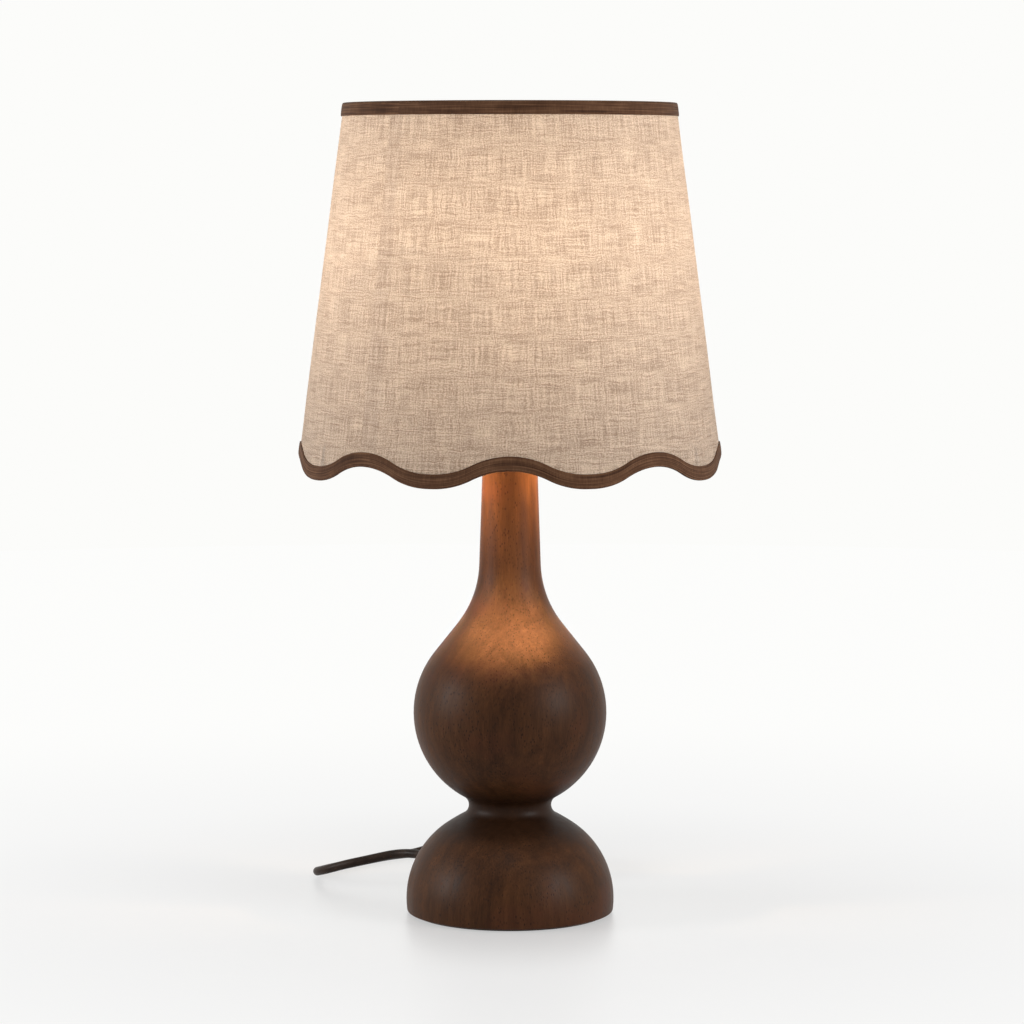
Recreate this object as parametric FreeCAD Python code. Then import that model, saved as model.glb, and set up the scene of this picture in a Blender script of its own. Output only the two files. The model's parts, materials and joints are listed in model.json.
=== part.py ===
"""Table lamp with a turned wooden body and a scalloped linen shade.

Millimetres, +Z up.  The origin is the centre of the footprint on the table top, and the
front of the lamp faces -Y.  Each function below makes one sub-part and returns its solid;
build_all() at the end writes every one of them to parts/NAME.step.
"""
import FreeCAD, Part
import math
import os

Vec = FreeCAD.Vector
Z_AXIS = Vec(0, 0, 1)
ORIGIN = Vec(0, 0, 0)

# ---------------------------------------------------------------- turned wooden body
FELT_T = 1.2              # felt pad under the foot
DOME_R = 63.0             # widest radius of the foot
DOME_WIDEST_Z = 8.6       # height of the widest place
DOME_SIDE_R = 54.5        # profile radius of the dome's side
DOME_SIDE_TURN = 55.9     # degrees of that side arc above the horizontal
DOME_CROWN_R = 120.0      # profile radius of the flatter crown
EDGE_ROUND = 1.2          # broken edge at the foot and at the neck's top
COVE_R = 6.5              # profile radius of the cove at the waist
BALL_R = 58.4             # ball of the body
BALL_Z = 122.6            # height of the ball's centre
SHOULDER_ANGLE = 38.5     # degrees: where the ball runs into the straight shoulder
FLARE_R = 61.2            # hollow curve from the shoulder into the neck
NECK_TOP_R = 15.8
NECK_TAPER = 0.034        # radius gained per millimetre going down the neck
NECK_TOP_Z = 294.0

TENON_R = 14.0            # round tenon of the body in the foot
TENON_L = 12.0
TENON_GAP = 0.1           # at the tenon's end

# ---------------------------------------------------------------- inside the foot
BALLAST_R = 41.0
BALLAST_T = 12.0
CHAMBER_GAP = 1.0         # radial play of the ballast in the chamber
CHAMBER_TOP_Z = 42.0      # ceiling of the chamber turned into the foot
COVER_R = 50.0            # board that closes the chamber
COVER_T = 3.0
COVER_PLAY = 0.3
FELT_MARGIN = 2.5         # the felt stops short of the foot's edge by this
SCREW_R = 1.5
SCREW_HEAD_R = 3.0
SCREW_L = 10.0
COVER_SCREWS = 3

# ---------------------------------------------------------------- hollow rod and its nut
ROD_R = 5.0
ROD_BORE_R = 3.9
ROD_PLAY = 0.3            # radial play of the rod in the wood
THREAD_PLAY = 0.03        # radial play where a thread is drawn plain
WASHER_R = 11.0
WASHER_T = 1.5
NUT_FLATS = 14.0
NUT_T = 4.0
ROD_BELOW_NUT = 2.0

# ---------------------------------------------------------------- lampholder
COLLAR_R = 14.0           # brass collar on the neck
COLLAR_T = 2.5
CAP_FOOT_R = 8.5
CAP_FOOT_H = 7.0
CAP_R = 18.5
CAP_H = 20.0
CAP_WALL = 2.0
CAP_ENTRY_H = 10.0        # threaded entry for the rod
ROD_IN_CAP = 9.0
CORE_R = 16.3             # ceramic insert
CORE_T = 7.0
CORE_BELOW_JOINT = 3.0    # how far the insert reaches down into the cap
SKIRT_R = 19.75           # threaded sleeve that the shade is held on
SKIRT_BORE_R = 16.6
SKIRT_H = 38.0
FLANGE_R = 23.0           # flange of the sleeve, which the shade rests on
FLANGE_T = 3.0
SHELL_BORE_R = 13.5       # screw shell
SHELL_WALL = 0.5
SHELL_H = 27.0
SHELL_FLOOR_T = 0.5
SPRING_R = 3.0            # centre contact
SPRING_H = 3.6
TERMINAL_R = 2.2
TERMINAL_H = 5.0
TERMINAL_X = 9.5
LEAD_R = 0.9

# ---------------------------------------------------------------- bulb
BULB_SEAT_GAP = 0.2       # between the two contacts at rest
BULB_R = 30.0
BULB_LENGTH = 105.0
BULB_GLASS_T = 0.9
BULB_CAP_R = 13.05
BULB_CAP_H = 21.0
BULB_CONTACT_R = 4.5
BULB_CONTACT_T = 1.2
BULB_INSULATOR_H = 5.5
BULB_INSULATOR_R = 12.0
BULB_NECK_R = 13.6
BULB_NECK_IN = 2.0        # how far the glass reaches down into the cap

# ---------------------------------------------------------------- shade
SHADE_TOP_R = 99.2        # outside of the linen at its top edge
SHADE_BOTTOM_R = 127.1    # outside of the linen at the mean line of the scallops
SHADE_HEIGHT = 214.0      # from that line to the top edge
SHADE_DROP = 45.2         # how far that line hangs below the lampholder's flange
LINEN_T = 0.6
LINER_T = 0.8
SCALLOP_SPANS = [42.0, 42.0, 47.0, 47.0, 46.0, 47.0, 47.0, 42.0]   # degrees, the front one first
SCALLOP_RISE = 5.35       # half of the height from the lowest to the highest point
SCALLOP_LEVEL = 1.0       # level stretch on each side of a low point, where two spans meet
BAND_H = 8.5              # binding on the scalloped edge
TOP_BAND_H = 8.0          # binding on the top edge
TOP_FLAP_H = 5.0          # its inner flap
BAND_T = 0.8
WIRE_R = 1.5              # rings and arms of the frame
WIRE_GAP = 0.1
RING_ABOVE_BAND = 0.6     # bottom ring's clearance above the binding
FITTER_BORE_R = 20.3
FITTER_R = 25.5
FITTER_T = 2.0
ARMS = 3
ARM_FLAT = 12.0           # level stretch of an arm beside the fitter
ARM_BEND_R = 12.0
TURN_GAP = 0.1            # between faces that turn on each other

LOCK_R = 25.2             # retaining ring on the sleeve, clear of the arms
LOCK_PLAY = 0.08
LOCK_H = 8.0
LOCK_GRIPS = 12
LOCK_GRIP_R = 1.6

# ---------------------------------------------------------------- flex and what is on it
CORD_R = 2.8
GLAND_AZIMUTH = 132.0     # degrees from +X: where the flex leaves the foot
GLAND_Z = 23.2
GLAND_STEM_R = 4.5
GLAND_STEM_L = 12.0
GLAND_FLANGE_R = 7.0
GLAND_FLANGE_T = 2.5
GLAND_SINK = 0.9          # the flange's seat is cut this deep into the wood
GLAND_TAIL_L = 20.0
GLAND_TAIL_R = 5.2
GLAND_TIP_R = 3.7
GLAND_PLAY = 0.1
CORD_PLAY = 0.05          # radial play of the flex in what holds it

SWITCH_L = 58.0
SWITCH_W = 22.0
SWITCH_H = 16.0
SWITCH_SPLIT_Z = 7.0      # joint of the two halves, and height of the flex and the pivot
SWITCH_ROUND = 4.0
SWITCH_X = -20.0
SWITCH_Y = 181.0
ROCKER_R = 10.2
ROCKER_W = 11.0
ROCKER_PLAY = 0.3
ROCKER_THROW = 14.0       # degrees from one side down to the other
ROCKER_CREST = 10.6       # height of the rocker's crest above its pivot
ROCKER_BELLY = 3.0
PIVOT_R = 1.3
PIVOT_L = 2.0
PIVOT_PLAY = 0.06
CASE_SCREW_R = 1.3
CASE_SCREW_INSET = 8.0
CASE_SCREW_L = 12.0
CASE_SCREW_Y = 6.5

COIL_X = 10.0
COIL_Y = 124.0
COIL_MEAN_R = 33.6
COIL_WIDE = 3             # turns side by side
COIL_HIGH = 2             # layers
TIE_T = 0.5
TIE_W = 9.0
TIE_AZIMUTH = 158.0

PLUG_L = 36.0
PLUG_W = 35.3
PLUG_T = 13.7
PLUG_WAIST_W = 26.0
PLUG_FLANK_L = 6.0        # sloping flank at the rear
PLUG_NOSE_L = 12.6        # from the waist's front end to the pins' face
PLUG_RIM_L = 6.0
PLUG_ROUND = 3.0
PLUG_FROM_COIL = (-9.0, -34.0)   # rear end of the plug's body, from the coil's centre
PLUG_AZIMUTH = 200.0      # degrees from +X: where the pins point
PLUG_BOOT_L = 20.0
PLUG_BOOT_R = 5.6
PLUG_BOOT_TIP_R = 3.6
PIN_R = 2.0
PIN_L = 19.0
PIN_SPACING = 18.6

# ---------------------------------------------------------------- levels worked out from them
DOME_BOTTOM_Z = FELT_T
COVER_TOP_Z = DOME_BOTTOM_Z + COVER_T
CHAMBER_R = BALLAST_R + CHAMBER_GAP
BALLAST_BOTTOM_Z = CHAMBER_TOP_Z - BALLAST_T
WASHER_BOTTOM_Z = BALLAST_BOTTOM_Z - WASHER_T
NUT_BOTTOM_Z = WASHER_BOTTOM_Z - NUT_T
ROD_BOTTOM_Z = NUT_BOTTOM_Z - ROD_BELOW_NUT
ROD_HOLE_R = ROD_R + ROD_PLAY
HOLDER_Z = NECK_TOP_Z + COLLAR_T
ROD_TOP_Z = HOLDER_Z + ROD_IN_CAP
JOINT_Z = HOLDER_Z + CAP_H                     # cap meets sleeve
CORE_BOTTOM_Z = JOINT_Z - CORE_BELOW_JOINT
CORE_TOP_Z = CORE_BOTTOM_Z + CORE_T
SEAT_Z = JOINT_Z + FLANGE_T                    # the shade's fitter rests here
SPRING_TOP_Z = CORE_TOP_Z + SHELL_FLOOR_T + SPRING_H
BULB_Z = SPRING_TOP_Z + BULB_SEAT_GAP
BULB_TOP_Z = BULB_Z + BULB_LENGTH
SCALLOP_Z = SEAT_Z + TURN_GAP - SHADE_DROP     # mean line of the scalloped edge
SHADE_TOP_Z = SCALLOP_Z + SHADE_HEIGHT
SHADE_SLOPE = (SHADE_BOTTOM_R - SHADE_TOP_R) / SHADE_HEIGHT
SKIN_T = LINEN_T + LINER_T
COIL_OUTER_R = COIL_MEAN_R + COIL_WIDE * CORD_R
COIL_INNER_R = COIL_MEAN_R - COIL_WIDE * CORD_R
COIL_TOP_Z = TIE_T + COIL_HIGH * 2 * CORD_R


# ---------------------------------------------------------------- helpers
def cylinder(radius, low, high, x=0.0, y=0.0):
    return Part.makeCylinder(radius, high - low, Vec(x, y, low))


def ring(inner, outer, low, high, x=0.0, y=0.0):
    return cylinder(outer, low, high, x, y).cut(cylinder(inner, low, high, x, y))


def cone(low_r, high_r, low, high):
    return Part.makeCone(low_r, high_r, high - low, Vec(0, 0, low))


def polar(centre, radius, degrees):
    """Point of a circle in the profile plane: (r, z)."""
    angle = math.radians(degrees)
    return centre[0] + radius * math.cos(angle), centre[1] + radius * math.sin(angle)


def degrees_of(centre, point):
    return math.degrees(math.atan2(point[1] - centre[1], point[0] - centre[0])) % 360.0


def profile_line(a, b):
    return Part.LineSegment(Vec(a[0], 0, a[1]), Vec(b[0], 0, b[1])).toShape()


def profile_arc(centre, radius, start, end):
    """Arc in the profile plane from start to end, both in degrees."""
    a, b, c = (polar(centre, radius, d) for d in (start, (start + end) / 2.0, end))
    return Part.Arc(Vec(a[0], 0, a[1]), Vec(b[0], 0, b[1]), Vec(c[0], 0, c[1])).toShape()


def revolved(edges):
    face = Part.Face(Part.Wire(edges))
    return face.revolve(ORIGIN, Z_AXIS, 360)


def revolved_polygon(points):
    edges = [profile_line(a, b) for a, b in zip(points, points[1:] + points[:1])]
    return revolved(edges)


def rounded_path(points, radii=None):
    """Straight runs joined by tangent arcs.  Without radii, each arc is as large as its
    two runs allow.  Returns the wire and the radius at each inner point."""
    share = 0.45
    edges, used, last = [], [], points[0]
    for i in range(1, len(points) - 1):
        back = (points[i - 1] - points[i]).normalize()
        ahead = (points[i + 1] - points[i]).normalize()
        turn = math.pi - back.getAngle(ahead)
        shorter = min((points[i] - points[i - 1]).Length, (points[i + 1] - points[i]).Length)
        radius = radii[i - 1] if radii else share * shorter / math.tan(turn / 2)
        reach = radius * math.tan(turn / 2)
        start, end = points[i] + back * reach, points[i] + ahead * reach
        middle = (back + ahead).normalize() * (radius / math.cos(turn / 2) - radius)
        edges.append(Part.LineSegment(last, start).toShape())
        edges.append(Part.Arc(start, points[i] + middle, end).toShape())
        used.append(radius)
        last = end
    edges.append(Part.LineSegment(last, points[-1]).toShape())
    return Part.Wire(edges), used


def tube(points, radius, radii=None):
    """Round solid along a rounded path."""
    wire, used = rounded_path(points, radii)
    start = Part.Circle(points[0], points[1] - points[0], radius).toShape()
    solid = wire.makePipeShell([Part.Wire([start])], True, False)
    return solid, wire.Length, used


def turned_about_z(shape, degrees, x=0.0, y=0.0):
    copy = shape.copy()
    copy.rotate(Vec(x, y, 0), Z_AXIS, degrees)
    return copy


def gland_point(distance, z=GLAND_Z):
    """Point on the gland's axis, at a distance from the lamp's axis."""
    angle = math.radians(GLAND_AZIMUTH)
    return Vec(distance * math.cos(angle), distance * math.sin(angle), z)


# ---------------------------------------------------------------- outline of the turned wood
def circle_tangent_to_two(c1, r1, c2, r2, radius):
    """Centre of a circle that touches two circles from outside, to the right of c1-c2."""
    a, b = r1 + radius, r2 + radius
    dx, dz = c2[0] - c1[0], c2[1] - c1[1]
    length = math.hypot(dx, dz)
    along = (length ** 2 + a ** 2 - b ** 2) / (2 * length)
    aside = math.sqrt(a ** 2 - along ** 2)
    ux, uz = dx / length, dz / length
    return c1[0] + along * ux + aside * uz, c1[1] + along * uz - aside * ux


def toward(start, target, distance):
    length = math.hypot(target[0] - start[0], target[1] - start[1])
    return (start[0] + (target[0] - start[0]) * distance / length,
            start[1] + (target[1] - start[1]) * distance / length)


def neck_radius(z):
    return NECK_TOP_R + NECK_TAPER * (NECK_TOP_Z - z)


SIDE_C = (DOME_R - DOME_SIDE_R, DOME_WIDEST_Z)
SIDE_TOP = polar(SIDE_C, DOME_SIDE_R, DOME_SIDE_TURN)
CROWN_C = polar(SIDE_TOP, DOME_CROWN_R, DOME_SIDE_TURN + 180.0)
BALL_C = (0.0, BALL_Z)
COVE_C = circle_tangent_to_two(CROWN_C, DOME_CROWN_R, BALL_C, BALL_R, COVE_R)
FOOT_TOP = toward(CROWN_C, COVE_C, DOME_CROWN_R)      # foot and body meet here
BALL_START = toward(BALL_C, COVE_C, BALL_R)
TENON_BOTTOM_Z = FOOT_TOP[1] - TENON_L


def side_radius(z):
    """Outer radius of the foot on its side arc."""
    return SIDE_C[0] + math.sqrt(DOME_SIDE_R ** 2 - (z - SIDE_C[1]) ** 2)


def flare_centre():
    """Centre of the hollow arc that touches the shoulder's line and the neck's line."""
    taper = math.atan(NECK_TAPER)
    shoulder = math.radians(SHOULDER_ANGLE)
    px = (BALL_R + FLARE_R) * math.cos(shoulder)
    pz = BALL_Z + (BALL_R + FLARE_R) * math.sin(shoulder)
    qx = NECK_TOP_R + FLARE_R * math.cos(taper)
    qz = NECK_TOP_Z + FLARE_R * math.sin(taper)
    ax, az = -math.sin(shoulder), math.cos(shoulder)
    bx, bz = -math.sin(taper), math.cos(taper)
    step = ((qx - px) * bz - (qz - pz) * bx) / (ax * bz - az * bx)
    return px + step * ax, pz + step * az


# ---------------------------------------------------------------- foot
def foot_dome():
    edge_r = side_radius(DOME_BOTTOM_Z)
    start = degrees_of(SIDE_C, (edge_r, DOME_BOTTOM_Z)) - 360.0
    bottom = (0.0, DOME_BOTTOM_Z)
    solid = revolved([
        profile_line(bottom, (edge_r, DOME_BOTTOM_Z)),
        profile_arc(SIDE_C, DOME_SIDE_R, start, DOME_SIDE_TURN),
        profile_arc(CROWN_C, DOME_CROWN_R, DOME_SIDE_TURN, degrees_of(CROWN_C, FOOT_TOP)),
        profile_line(FOOT_TOP, (0.0, FOOT_TOP[1])),
        profile_line((0.0, FOOT_TOP[1]), bottom),
    ])
    rim = [e for e in solid.Edges if e.BoundBox.ZMax < DOME_BOTTOM_Z + 0.01 and len(e.Vertexes) == 1]
    solid = solid.makeFillet(EDGE_ROUND, rim)
    solid = solid.cut(cylinder(CHAMBER_R, DOME_BOTTOM_Z, CHAMBER_TOP_Z))
    solid = solid.cut(cylinder(COVER_R + COVER_PLAY, DOME_BOTTOM_Z, COVER_TOP_Z))
    solid = solid.cut(cylinder(ROD_HOLE_R, CHAMBER_TOP_Z, FOOT_TOP[1]))
    solid = solid.cut(cylinder(TENON_R, TENON_BOTTOM_Z - TENON_GAP, FOOT_TOP[1]))
    for place in cover_screw_places():
        solid = solid.cut(cylinder(SCREW_R, COVER_TOP_Z, DOME_BOTTOM_Z + SCREW_L, *place))
    axis = gland_point(1.0, 0.0)
    stem = Part.makeCylinder(GLAND_STEM_R + GLAND_PLAY, DOME_R, gland_point(CHAMBER_R / 2), axis)
    seat = Part.makeCylinder(GLAND_FLANGE_R + GLAND_PLAY, DOME_R, gland_point(gland_seat()), axis)
    return solid.cut(stem).cut(seat)


def cover_screw_places():
    middle = (CHAMBER_R + COVER_R) / 2
    for i in range(COVER_SCREWS):
        angle = math.radians(GLAND_AZIMUTH + 180.0 + i * 360.0 / COVER_SCREWS)
        yield middle * math.cos(angle), middle * math.sin(angle)


def base_cover():
    solid = cylinder(COVER_R, DOME_BOTTOM_Z, COVER_TOP_Z)
    for place in cover_screw_places():
        solid = solid.cut(cylinder(SCREW_R, DOME_BOTTOM_Z, COVER_TOP_Z, *place))
        solid = solid.cut(cylinder(SCREW_HEAD_R, DOME_BOTTOM_Z, DOME_BOTTOM_Z + COVER_T / 2, *place))
    return solid


def cover_screws():
    screws = []
    for place in cover_screw_places():
        head = cylinder(SCREW_HEAD_R, DOME_BOTTOM_Z, DOME_BOTTOM_Z + COVER_T / 2, *place)
        shank = cylinder(SCREW_R, DOME_BOTTOM_Z, DOME_BOTTOM_Z + SCREW_L, *place)
        screws.append(head.fuse(shank).removeSplitter())
    return Part.makeCompound(screws)


def felt_pad():
    return cylinder(side_radius(DOME_BOTTOM_Z) - EDGE_ROUND - FELT_MARGIN, 0.0, FELT_T)


def ballast():
    return ring(ROD_HOLE_R, BALLAST_R, BALLAST_BOTTOM_Z, CHAMBER_TOP_Z)


def rod_washer():
    return ring(ROD_HOLE_R, WASHER_R, WASHER_BOTTOM_Z, BALLAST_BOTTOM_Z)


def rod_nut():
    corner = NUT_FLATS / math.sqrt(3.0)
    corners = [Vec(corner * math.cos(math.radians(60 * i)), corner * math.sin(math.radians(60 * i)),
                   NUT_BOTTOM_Z) for i in range(7)]
    hexagon = Part.Face(Part.makePolygon(corners)).extrude(Vec(0, 0, NUT_T))
    return hexagon.cut(cylinder(ROD_R + THREAD_PLAY, NUT_BOTTOM_Z, WASHER_BOTTOM_Z))


def threaded_rod():
    return ring(ROD_BORE_R, ROD_R, ROD_BOTTOM_Z, ROD_TOP_Z)


# ---------------------------------------------------------------- body
def body_gourd():
    flare = flare_centre()
    taper = math.degrees(math.atan(NECK_TAPER))
    neck_top = (NECK_TOP_R, NECK_TOP_Z)
    shoulder_low = polar(BALL_C, BALL_R, SHOULDER_ANGLE)
    shoulder_high = polar(flare, FLARE_R, SHOULDER_ANGLE + 180.0)
    neck_low = polar(flare, FLARE_R, taper + 180.0)
    solid = revolved([
        profile_line((0.0, FOOT_TOP[1]), FOOT_TOP),
        profile_arc(COVE_C, COVE_R, degrees_of(COVE_C, FOOT_TOP), degrees_of(COVE_C, BALL_START)),
        profile_arc(BALL_C, BALL_R, degrees_of(BALL_C, BALL_START) - 360.0, SHOULDER_ANGLE),
        profile_line(shoulder_low, shoulder_high),
        profile_arc(flare, FLARE_R, SHOULDER_ANGLE + 180.0, taper + 180.0),
        profile_line(neck_low, neck_top),
        profile_line(neck_top, (0.0, NECK_TOP_Z)),
        profile_line((0.0, NECK_TOP_Z), (0.0, FOOT_TOP[1])),
    ])
    rim = [e for e in solid.Edges if e.BoundBox.ZMin > NECK_TOP_Z - 0.01 and len(e.Vertexes) == 1]
    solid = solid.makeFillet(EDGE_ROUND, rim)
    solid = solid.fuse(cylinder(TENON_R - TENON_GAP, TENON_BOTTOM_Z, FOOT_TOP[1])).removeSplitter()
    return solid.cut(cylinder(ROD_HOLE_R, TENON_BOTTOM_Z, NECK_TOP_Z))


def neck_collar():
    solid = ring(ROD_R + THREAD_PLAY, COLLAR_R, NECK_TOP_Z, HOLDER_Z)
    rim = [e for e in solid.Edges if e.BoundBox.ZMin > HOLDER_Z - 0.01 and e.BoundBox.XLength > COLLAR_R]
    return solid.makeFillet(COLLAR_T / 3, rim)


# ---------------------------------------------------------------- lampholder
def holder_cap():
    foot_top = HOLDER_Z + CAP_FOOT_H
    shoulder_z = JOINT_Z - CORE_BELOW_JOINT - 1.0
    entry_z = HOLDER_Z + CAP_ENTRY_H
    inner_r = CORE_R + THREAD_PLAY
    ledge_r = CORE_R - CAP_WALL
    outer = revolved_polygon([(0.0, HOLDER_Z), (CAP_FOOT_R, HOLDER_Z), (CAP_FOOT_R, foot_top),
                              (CAP_R, shoulder_z), (CAP_R, JOINT_Z), (0.0, JOINT_Z)])
    hollow = revolved_polygon([(0.0, entry_z), (CAP_FOOT_R - CAP_WALL, entry_z),
                               (ledge_r, shoulder_z), (ledge_r, CORE_BOTTOM_Z),
                               (inner_r, CORE_BOTTOM_Z), (inner_r, JOINT_Z), (0.0, JOINT_Z)])
    entry = cylinder(ROD_R + THREAD_PLAY, HOLDER_Z, entry_z)
    return outer.cut(hollow).cut(entry)


def terminal_places():
    return {"live": TERMINAL_X, "neutral": -TERMINAL_X}


def holder_core():
    solid = cylinder(CORE_R, CORE_BOTTOM_Z, CORE_TOP_Z)
    for x in terminal_places().values():
        solid = solid.cut(cylinder(TERMINAL_R, CORE_BOTTOM_Z, CORE_BOTTOM_Z + TERMINAL_H, x))
    return solid


def holder_terminal(x):
    """Brass terminal block in the insert, with a hole up its middle for the lead."""
    block = cylinder(TERMINAL_R, CORE_BOTTOM_Z, CORE_BOTTOM_Z + TERMINAL_H, x)
    return block.cut(cylinder(LEAD_R, CORE_BOTTOM_Z, CORE_BOTTOM_Z + TERMINAL_H / 2, x))


def holder_shell():
    outer = cylinder(SHELL_BORE_R + SHELL_WALL, CORE_TOP_Z, CORE_TOP_Z + SHELL_H)
    inner = cylinder(SHELL_BORE_R, CORE_TOP_Z + SHELL_FLOOR_T, CORE_TOP_Z + SHELL_H)
    hole = cylinder(SPRING_R * 1.6, CORE_TOP_Z, CORE_TOP_Z + SHELL_FLOOR_T)
    return outer.cut(inner).cut(hole)


def holder_contact():
    stem = cylinder(SPRING_R / 2, CORE_TOP_Z, SPRING_TOP_Z)
    button = cylinder(SPRING_R, SPRING_TOP_Z - SPRING_H / 3, SPRING_TOP_Z)
    return stem.fuse(button).removeSplitter()


def holder_skirt():
    top = JOINT_Z + SKIRT_H
    solid = revolved_polygon([
        (SKIRT_BORE_R, JOINT_Z), (FLANGE_R, JOINT_Z), (FLANGE_R, SEAT_Z), (SKIRT_R, SEAT_Z),
        (SKIRT_R, top - CAP_WALL), (SKIRT_R - CAP_WALL / 2, top), (SKIRT_BORE_R, top)])
    return solid


def lead(x):
    """Insulated core of the flex, from the end of its sheath to a terminal."""
    side = math.copysign(LEAD_R + 0.1, x)
    sheath_top = flex_top()
    turn_z = (sheath_top + CORE_BOTTOM_Z) / 2
    points = [Vec(side, 0, sheath_top), Vec(side, 0, turn_z - 1.0), Vec(x, 0, turn_z + 1.0),
              Vec(x, 0, CORE_BOTTOM_Z + TERMINAL_H / 2)]
    solid, _, _ = tube(points, LEAD_R - 0.02)
    return solid


# ---------------------------------------------------------------- bulb
def bulb_glass_solid(radius, neck_r, low, centre_z):
    """Pear shape: a neck, a straight flank that touches the ball, and the ball."""
    neck_top = low + 2 * BULB_NECK_IN
    distance = math.hypot(neck_r, centre_z - neck_top)
    lean = math.asin(neck_r / distance)
    touch = math.degrees(math.acos(radius / distance) - lean) - 90.0
    return revolved([
        profile_line((0.0, low), (neck_r, low)),
        profile_line((neck_r, low), (neck_r, neck_top)),
        profile_line((neck_r, neck_top), polar((0.0, centre_z), radius, touch)),
        profile_arc((0.0, centre_z), radius, touch, 90.0),
        profile_line((0.0, centre_z + radius), (0.0, low)),
    ])


def bulb_glass():
    low = BULB_Z + BULB_CONTACT_T + BULB_INSULATOR_H + BULB_CAP_H - BULB_NECK_IN
    centre_z = BULB_TOP_Z - BULB_R
    outer = bulb_glass_solid(BULB_R, BULB_NECK_R - BULB_GLASS_T, low, centre_z)
    inner = bulb_glass_solid(BULB_R - BULB_GLASS_T, BULB_NECK_R - 2 * BULB_GLASS_T,
                             low + BULB_GLASS_T, centre_z)
    return outer.cut(inner)


def bulb_cap():
    low = BULB_Z + BULB_CONTACT_T + BULB_INSULATOR_H
    solid = cylinder(BULB_CAP_R, low, low + BULB_CAP_H)
    return solid.cut(cylinder(BULB_NECK_R - BULB_GLASS_T, low + BULB_CAP_H - BULB_NECK_IN, low + BULB_CAP_H))


def bulb_insulator():
    low = BULB_Z + BULB_CONTACT_T
    return cone(BULB_CONTACT_R + 0.5, BULB_INSULATOR_R, low, low + BULB_INSULATOR_H)


def bulb_contact():
    return cylinder(BULB_CONTACT_R, BULB_Z, BULB_Z + BULB_CONTACT_T)


# ---------------------------------------------------------------- shade
def linen_radius(z):
    """Outside of the linen at a height."""
    return SHADE_BOTTOM_R - SHADE_SLOPE * (z - SCALLOP_Z)


def conical_shell(outside, thickness, low, high):
    """Wall of the shade whose outer face lies outside the linen's by `outside`."""
    outer = cone(linen_radius(low) + outside, linen_radius(high) + outside, low, high)
    inner = cone(linen_radius(low) + outside - thickness, linen_radius(high) + outside - thickness, low, high)
    return outer.cut(inner)


def beyond_scallop(above, side, half):
    """Cutting solid for one scallop, centred on +X, whose low points lie at the angles
    -half and half."""
    reach = (SHADE_BOTTOM_R - SKIN_T / 2) * math.sin(half) - SCALLOP_LEVEL
    mean_z = SCALLOP_Z + above
    quarter = reach / 2
    bend = 2 * math.atan(SCALLOP_RISE / quarter)
    bend_r = quarter / math.sin(bend)
    sag = bend_r * (1 - math.cos(bend / 2))
    aside = bend_r * math.sin(bend / 2)
    high, low = mean_z + SCALLOP_RISE, mean_z - SCALLOP_RISE
    end_z = mean_z + side * 4 * SCALLOP_RISE
    near, far = SHADE_TOP_R / 2, SHADE_BOTTOM_R * 1.2

    def at(s, z):
        return Vec(near, s, z)

    wide = far * math.sin(half)
    corners = [at(reach, low), at(wide, low), at(wide, end_z), at(-wide, end_z), at(-wide, low),
               at(-reach, low)]
    edges = [Part.LineSegment(p, q).toShape() for p, q in zip(corners, corners[1:])]
    for start, middle, end in [
            (at(-reach, low), at(-reach + aside, low + sag), at(-quarter, mean_z)),
            (at(-quarter, mean_z), at(-aside, high - sag), at(0, high)),
            (at(0, high), at(aside, high - sag), at(quarter, mean_z)),
            (at(quarter, mean_z), at(reach - aside, low + sag), at(reach, low))]:
        edges.append(Part.Arc(start, middle, end).toShape())
    prism = Part.Face(Part.Wire(edges)).extrude(Vec(far - near, 0, 0))
    base_z = min(end_z, low) - 1.0
    corner_y = 2 * far * math.tan(half)
    wedge = Part.Face(Part.makePolygon([Vec(0, 0, base_z), Vec(2 * far, -corner_y, base_z),
                                        Vec(2 * far, corner_y, base_z), Vec(0, 0, base_z)]))
    wedge = wedge.extrude(Vec(0, 0, 12 * SCALLOP_RISE))
    return prism.common(wedge)


def beyond_scallops(above, side):
    """Cutting solids that fill the space under (side -1) or over (side 1) the scalloped
    line moved up by `above`.  A high point faces the front, -Y."""
    pieces = []
    low_point = 270.0 - SCALLOP_SPANS[0] / 2
    for span in SCALLOP_SPANS:
        piece = beyond_scallop(above, side, math.radians(span / 2))
        pieces.append(turned_about_z(piece, low_point + span / 2))
        low_point += span
    return pieces


SKIN_LOW = SCALLOP_Z - 2 * SCALLOP_RISE


def shade_linen():
    return conical_shell(0.0, LINEN_T, SKIN_LOW, SHADE_TOP_Z).cut(beyond_scallops(0.0, -1))


def shade_liner():
    return conical_shell(-LINEN_T, LINER_T, SKIN_LOW, SHADE_TOP_Z).cut(beyond_scallops(0.0, -1))


def bottom_binding():
    high = SCALLOP_Z + SCALLOP_RISE + BAND_H + 2.0
    folded = conical_shell(BAND_T, SKIN_T + 2 * BAND_T, SKIN_LOW, high)
    band = folded.cut(beyond_scallops(BAND_H - BAND_T, 1)).cut(beyond_scallops(-BAND_T, -1))
    core = conical_shell(0.0, SKIN_T, SKIN_LOW, high).cut(beyond_scallops(0.0, -1))
    return band.cut(core)


def wire_inner_radius():
    """Clear radius inside the top wire."""
    return linen_radius(SHADE_TOP_Z) - SKIN_T - 2 * WIRE_R - 2 * WIRE_GAP


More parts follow.
